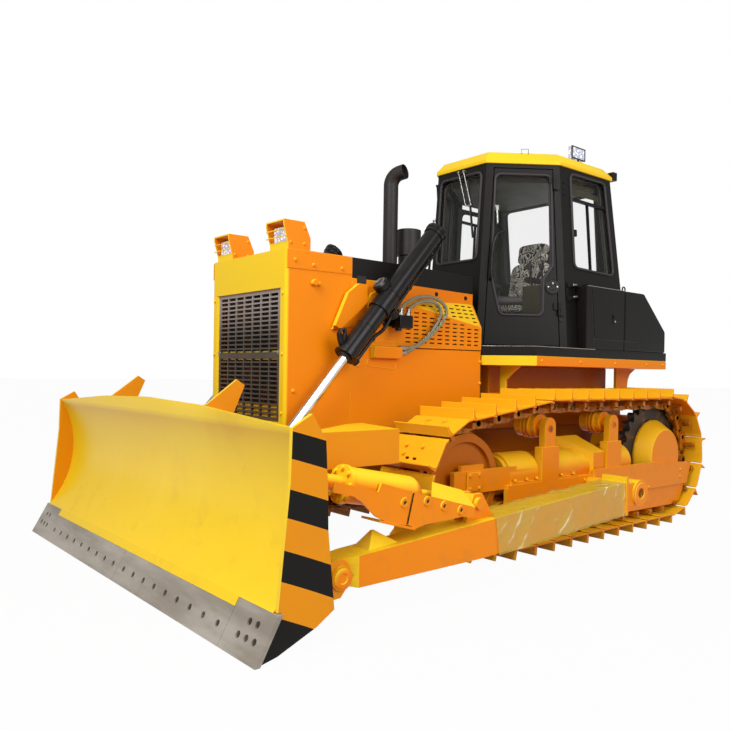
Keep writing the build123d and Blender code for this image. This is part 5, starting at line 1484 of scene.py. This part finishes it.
def build_cutting_edges():
    """Rolled edges with their holes, and the bolt heads sunk in them."""
    steel = dressed("cutting_edges", "rolled_steel", 0.002)
    spots = [((i + 0.5) * HOLE_PITCH + 0.010, HOLE_UP) for i in range(9)]
    spots += [(a, b * 1.136) for a, b in ((1.468, 0.079), (1.539, 0.080), (1.608, 0.082), (1.513, 0.141),
                                          (1.580, 0.143))]
    spots += [(-a, b) for a, b in spots]
    tools = [rod("hole", on(EDGE, a, b, -0.009), on(EDGE, a, b, 0.02), 0.0175, 20, 0.0) for a, b in spots]
    cut(steel, joined("holes", tools))
    steel.data.materials.clear()
    steel.data.materials.append(finish("rolled_steel"))
    steel.data.polygons.foreach_set("material_index", [0] * len(steel.data.polygons))
    shade(steel)
    section = [(0, 0), (0.0135, 0), (0.0125, 0.004), (0.006, 0.005), (0, 0.005)]
    heads = [turned("edge_bolts", on(EDGE, a, b, -0.0092), EDGE.out, section, 16) for a, b in spots]
    place_on(joined("edge_bolts", heads), "dark_iron", "blade_frame")


def build_blade_fittings():
    """Caps of the arms' pins and trunnions, and the bolts of the tilt cylinder and its guard."""
    cap = turned("arm_pin_caps", (2.059, PIN_OUT - 0.002, 0.276), (0, 1, 0),
                 [(0, 0), (0.050, 0), (0.050, 0.006), (0.042, 0.010), (0.026, 0.010), (0.022, 0.005),
                  (0, 0.005)], 36)
    both_sides(cap, "body_paint", "blade_frame")
    spots = [(x, GUARD_OUT, z)
             for x, z in ((1.6285, 0.583), (1.467, 0.574), (1.343, 0.535), (1.212, 0.498))]
    place_on(rings("guard_bolts", spots, (0, 1, 0), 0.026, 0.012, 0.007), "body_paint", "blade_frame")
    place_on(studs("guard_bolt_cores", spots, (0, 1, 0), 0.008, 0.003), "dark_iron", "blade_frame")
    # Dark strip along the guard's seam: painted shadow in the gap
    seam = strip("guard_seam", side_at(GUARD_OUT), (1.606, 0.470), (1.564, 0.628), 0.007, -0.001, 0.0012,
                 0.0)
    place_on(seam, "seam_shade", "blade_frame")
    cap = turned("trunnion_cap", (PIVOT[0], ARM_OUT - 0.001, PIVOT[1]), (0, 1, 0),
                 [(0, 0), (0.078, 0), (0.074, 0.004), (0.040, 0.004), (0.036, 0.001), (0, 0.001)], 48)
    both_sides(cap, "body_paint", "blade_frame")
    tilt = Vector((1.958, TILT_Y, 0.6966))
    way = Vector((-1.127, 0, -0.226)).normalized()
    up = Vector((-way.z, 0, way.x))
    if up.z < 0:
        up = -up
    bolts = [tilt + Vector((0, 0.080 * cos(a), 0)) + up * 0.080 * sin(a) for a in angles(8)]
    place_on(studs("tilt_bolts", bolts, -way, 0.013, 0.014), "body_paint", "blade_frame")


FILM_FRONT, FILM_BACK, FILM_GAP = 0.905, -0.404, 0.0075
ARM_IN, ARM_BACK, ARM_RUN = 1.370, -0.430, 1.460


def arm_outline(x, swell):
    """Section of the left arm at x, grown by swell: its two sides, its foot and its top."""
    share = (x - ARM_BACK) / ARM_RUN
    return ARM_IN - swell, ARM_OUT + swell, 0.286 - 0.083 * share - swell, 0.507 - 0.095 * share + swell


def round_arm(turn, y0, y1, z0, z1):
    """Point on the arm's section after this share of a turn, from the foot of its outer side upwards."""
    width, height = y1 - y0, z1 - z0
    run = turn * 2 * (width + height)
    if run < height:
        return y1, z0 + run
    if run < height + width:
        return y1 - (run - height), z1
    if run < 2 * height + width:
        return y0, z1 - (run - height - width)
    return y0 + (run - 2 * height - width), z0


def build_film():
    """Clear film wound round the rear half of the left arm, with taut creases and a slanting front edge."""
    bpy.ops.mesh.primitive_grid_add(x_subdivisions=90, y_subdivisions=96, size=2)
    piece = bpy.context.active_object
    for vertex in piece.data.vertices:
        along, turn = (vertex.co.x + 1) / 2, (vertex.co.y + 1) / 2
        x = FILM_FRONT + (FILM_BACK - FILM_FRONT) * along
        crease = 0.0016 * (sin(31 * x + 9 * turn) + sin(57 * x - 40 * turn) * 0.7
                           + sin(110 * turn + 21 * x) * 0.5)
        y0, y1, z0, z1 = arm_outline(x, FILM_GAP + crease)
        y, z = round_arm(turn, y0, y1, z0, z1)
        slant = 0.030 * (z - z0) / (z1 - z0) * (1 - along)
        vertex.co = (x + slant, y, z)
    edit(piece, lambda: bpy.ops.mesh.remove_doubles(threshold=1e-5),
         lambda: bpy.ops.mesh.normals_make_consistent(inside=False))
    film = shade(fresh("arm_film"), 70)
    place_on(film, "stretch_film", "blade_frame")


# Stage

CAMERA_AT = (4.1193, 4.4126, 1.2582)
CAMERA_YAW, CAMERA_PITCH, CAMERA_ROLL = radians(48.28), radians(-0.52), radians(0.94)
PHOTO_WIDTH, FOCAL, CENTRE = 730.0, 733.3, (415.1, 379.2)
SENSOR, CAMERA_REACH = 36.0, 200.0
FLOOR_SIZE, FLOOR_LOW, FLOOR_WHITE, WORLD_LEVEL = 160, -0.001, 0.965, 0.46
# Name, place, power in watts and size of each soft lamp, and the point that they face
LAMPS = (("key", (6.0, 2.5, 6.5), 450.0, 4.0), ("fill", (0.5, 9.0, 5.0), 390.0, 5.0))
LAMP_AIM = Vector((0, 0, 0.8))


def build_camera():
    """Camera at the photograph's place, with its framing as lens shift."""
    look = Vector((-cos(CAMERA_YAW) * cos(CAMERA_PITCH), -sin(CAMERA_YAW) * cos(CAMERA_PITCH),
                   sin(CAMERA_PITCH)))
    right = look.cross(Vector((0, 0, 1))).normalized()
    up = right.cross(look)
    tilted_right = right * cos(CAMERA_ROLL) + up * sin(CAMERA_ROLL)
    tilted_up = up * cos(CAMERA_ROLL) - right * sin(CAMERA_ROLL)
    bpy.ops.object.camera_add(location=CAMERA_AT)
    camera = bpy.context.active_object
    camera.rotation_euler = Matrix((tilted_right, tilted_up, -look)).transposed().to_euler()
    camera.data.sensor_width = SENSOR
    camera.data.lens = FOCAL / PHOTO_WIDTH * SENSOR
    camera.data.shift_x = (PHOTO_WIDTH / 2 - CENTRE[0]) / PHOTO_WIDTH
    camera.data.shift_y = (CENTRE[1] - PHOTO_WIDTH / 2) / PHOTO_WIDTH
    camera.data.clip_end = CAMERA_REACH
    bpy.context.scene.camera = camera


def floor_material():
    """Pale matt floor that shows white where it is seen, with the shadow left faint."""
    made = Finish("studio_floor", Specular_IOR_Level=0.0)
    made.give(Base_Color=made.mix((0.50, 0.50, 0.50, 1.0), (0.53, 0.53, 0.53, 1.0), made.noise(0.4, 2.0)),
              Roughness=made.noise(0.5, 2.0) * 0.05 + 0.85)
    seen = [made.node("LightPath", output=name)
            for name in ("Is Camera Ray", "Is Glossy Ray", "Is Transmission Ray")]
    share = (seen[0] + seen[1] + seen[2]).math("MINIMUM", 1.0) * FLOOR_WHITE
    glow = made.tree.nodes.new("ShaderNodeEmission")
    blend = made.tree.nodes.new("ShaderNodeMixShader")
    output = next(node for node in made.tree.nodes if node.type == "OUTPUT_MATERIAL")
    made.tree.links.new(share.socket, blend.inputs[0])
    made.tree.links.new(made.shader.outputs[0], blend.inputs[1])
    made.tree.links.new(glow.outputs[0], blend.inputs[2])
    made.tree.links.new(blend.outputs[0], output.inputs["Surface"])
    return made.material


def build_stage():
    """Pale floor, white surroundings and soft lamps."""
    bpy.ops.mesh.primitive_plane_add(size=FLOOR_SIZE, location=(0, 0, FLOOR_LOW))
    floor = fresh("studio_floor")
    floor.data.materials.append(floor_material())
    world = bpy.data.worlds.new("studio")
    bpy.context.scene.world = world
    world.use_nodes = True
    nodes, links = world.node_tree.nodes, world.node_tree.links
    back = nodes["Background"]
    path = nodes.new("ShaderNodeLightPath")
    seen = nodes.new("ShaderNodeMath")
    seen.operation, seen.use_clamp = "ADD", True
    links.new(path.outputs["Is Camera Ray"], seen.inputs[0])
    links.new(path.outputs["Is Transmission Ray"], seen.inputs[1])
    strength = nodes.new("ShaderNodeMapRange")
    strength.inputs["To Min"].default_value, strength.inputs["To Max"].default_value = WORLD_LEVEL, 1.0
    links.new(seen.outputs[0], strength.inputs["Value"])
    links.new(strength.outputs[0], back.inputs["Strength"])
    back.inputs["Color"].default_value = (1.0, 1.0, 1.0, 1.0)
    for name, place, power, size in LAMPS:
        bpy.ops.object.light_add(type="AREA", location=place)
        lamp = bpy.context.active_object
        lamp.name, lamp.data.energy, lamp.data.size = name, power, size
        lamp.rotation_euler = (LAMP_AIM - Vector(place)).to_track_quat("-Z", "Y").to_euler()
    bpy.context.scene.view_settings.view_transform = "Standard"
    build_camera()


def build_body():
    """Paints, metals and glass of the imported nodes."""
    for row in DRESSED:
        dressed(*row)
    for node in ("cab_glass", "door_glass_left", "door_glass_right"):
        dressed(node, "side_glass", 0.0)


# Operators

UNDOABLE = {"REGISTER", "UNDO"}


class DOZER_OT_stage(bpy.types.Operator):
    """Make the floor, the surroundings, the lamps and the camera."""
    bl_idname, bl_label, bl_options = "dozer.stage", "Stage and camera", UNDOABLE

    def execute(self, context):
        build_stage()
        return {"FINISHED"}


class DOZER_OT_hoses(bpy.types.Operator):
    """Make the hydraulic hoses with their ends and blocks."""
    bl_idname, bl_label, bl_options = "dozer.hoses", "Hoses", UNDOABLE

    def execute(self, context):
        build_hoses()
        return {"FINISHED"}


class DOZER_OT_body(bpy.types.Operator):
    """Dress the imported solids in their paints, steel and glass."""
    bl_idname, bl_label, bl_options = "dozer.body", "Body", UNDOABLE

    def execute(self, context):
        build_body()
        return {"FINISHED"}


class DOZER_OT_tracks(bpy.types.Operator):
    """Make the two chains with their shoes."""
    bl_idname, bl_label, bl_options = "dozer.tracks", "Tracks", UNDOABLE

    def execute(self, context):
        build_tracks()
        return {"FINISHED"}


class DOZER_OT_undercarriage(bpy.types.Operator):
    """Make the bolts and caps of the track frames and drives."""
    bl_idname, bl_label, bl_options = "dozer.undercarriage", "Undercarriage fittings", UNDOABLE

    def execute(self, context):
        build_undercarriage()
        return {"FINISHED"}


class DOZER_OT_windows(bpy.types.Operator):
    """Make the window seals, bars and wipers."""
    bl_idname, bl_label, bl_options = "dozer.windows", "Windows and wipers", UNDOABLE

    def execute(self, context):
        build_windows()
        build_wipers()
        return {"FINISHED"}


class DOZER_OT_doors(bpy.types.Operator):
    """Make the doors' pulls, rails, locks and bolts."""
    bl_idname, bl_label, bl_options = "dozer.doors", "Door fittings", UNDOABLE

    def execute(self, context):
        build_door_fittings()
        return {"FINISHED"}


class DOZER_OT_cab(bpy.types.Operator):
    """Make the seat, the lining and the controls inside the cab."""
    bl_idname, bl_label, bl_options = "dozer.cab", "Cab inside", UNDOABLE

    def execute(self, context):
        build_seat()
        build_cab_inside()
        return {"FINISHED"}


class DOZER_OT_roof(bpy.types.Operator):
    """Make what stands on the roof, and the tank's lifting eyes."""
    bl_idname, bl_label, bl_options = "dozer.roof", "Roof fittings", UNDOABLE

    def execute(self, context):
        build_roof_fittings()
        return {"FINISHED"}


class DOZER_OT_boxes(bpy.types.Operator):
    """Make the lids, locks and edges of the boxes, the tank and the deck."""
    bl_idname, bl_label, bl_options = "dozer.boxes", "Boxes and deck", UNDOABLE

    def execute(self, context):
        build_box_fittings()
        build_deck_fittings()
        return {"FINISHED"}


class DOZER_OT_hood(bpy.types.Operator):
    """Make the hood's lips, bolts and panels, the grille's bars and the lamp guards' louvres."""
    bl_idname, bl_label, bl_options = "dozer.hood", "Hood fittings", UNDOABLE

    def execute(self, context):
        build_hood_fittings()
        build_lamp_fittings()
        return {"FINISHED"}


class DOZER_OT_cylinders(bpy.types.Operator):
    """Make the bands, pipes and valves of the lift cylinders."""
    bl_idname, bl_label, bl_options = "dozer.cylinders", "Lift cylinders", UNDOABLE

    def execute(self, context):
        build_cylinders()
        return {"FINISHED"}


class DOZER_OT_blade(bpy.types.Operator):
    """Make the cutting edges' holes and bolts, and the caps and bolts of blade and arms."""
    bl_idname, bl_label, bl_options = "dozer.blade", "Blade and arms", UNDOABLE

    def execute(self, context):
        build_cutting_edges()
        build_blade_fittings()
        return {"FINISHED"}


class DOZER_OT_film(bpy.types.Operator):
    """Make the clear film on the left arm."""
    bl_idname, bl_label, bl_options = "dozer.film", "Arm film", UNDOABLE

    def execute(self, context):
        build_film()
        return {"FINISHED"}


OPERATORS = (DOZER_OT_stage, DOZER_OT_hoses, DOZER_OT_body, DOZER_OT_tracks, DOZER_OT_undercarriage,
             DOZER_OT_windows, DOZER_OT_doors, DOZER_OT_cab, DOZER_OT_roof, DOZER_OT_boxes, DOZER_OT_hood,
             DOZER_OT_cylinders, DOZER_OT_blade, DOZER_OT_film)


class DOZER_PT_panel(bpy.types.Panel):
    """Lists the sizes, the colours and the steps in their order."""
    bl_idname, bl_label = "DOZER_PT_panel", "Crawler bulldozer"
    bl_space_type, bl_region_type, bl_category = "VIEW_3D", "UI", "Dozer"

    def draw(self, context):
        for group in (context.scene.dozer_sizes, context.scene.dozer_colours):
            box = self.layout.box()
            for name in group.__annotations__:
                box.prop(group, name)
        for operator in OPERATORS:
            self.layout.operator(operator.bl_idname, text=operator.bl_label)


CLASSES = (DozerColours, DozerSizes, *OPERATORS, DOZER_PT_panel)


def register():
    for item in CLASSES:
        bpy.utils.register_class(item)
    bpy.types.Scene.dozer_colours = PointerProperty(type=DozerColours)
    bpy.types.Scene.dozer_sizes = PointerProperty(type=DozerSizes)


def unregister():
    del bpy.types.Scene.dozer_sizes, bpy.types.Scene.dozer_colours
    for item in reversed(CLASSES):
        bpy.utils.unregister_class(item)


def main():
    register()
    for operator in OPERATORS:
        getattr(bpy.ops.dozer, operator.bl_idname.split(".")[1])()


if __name__ == "__main__":
    main()
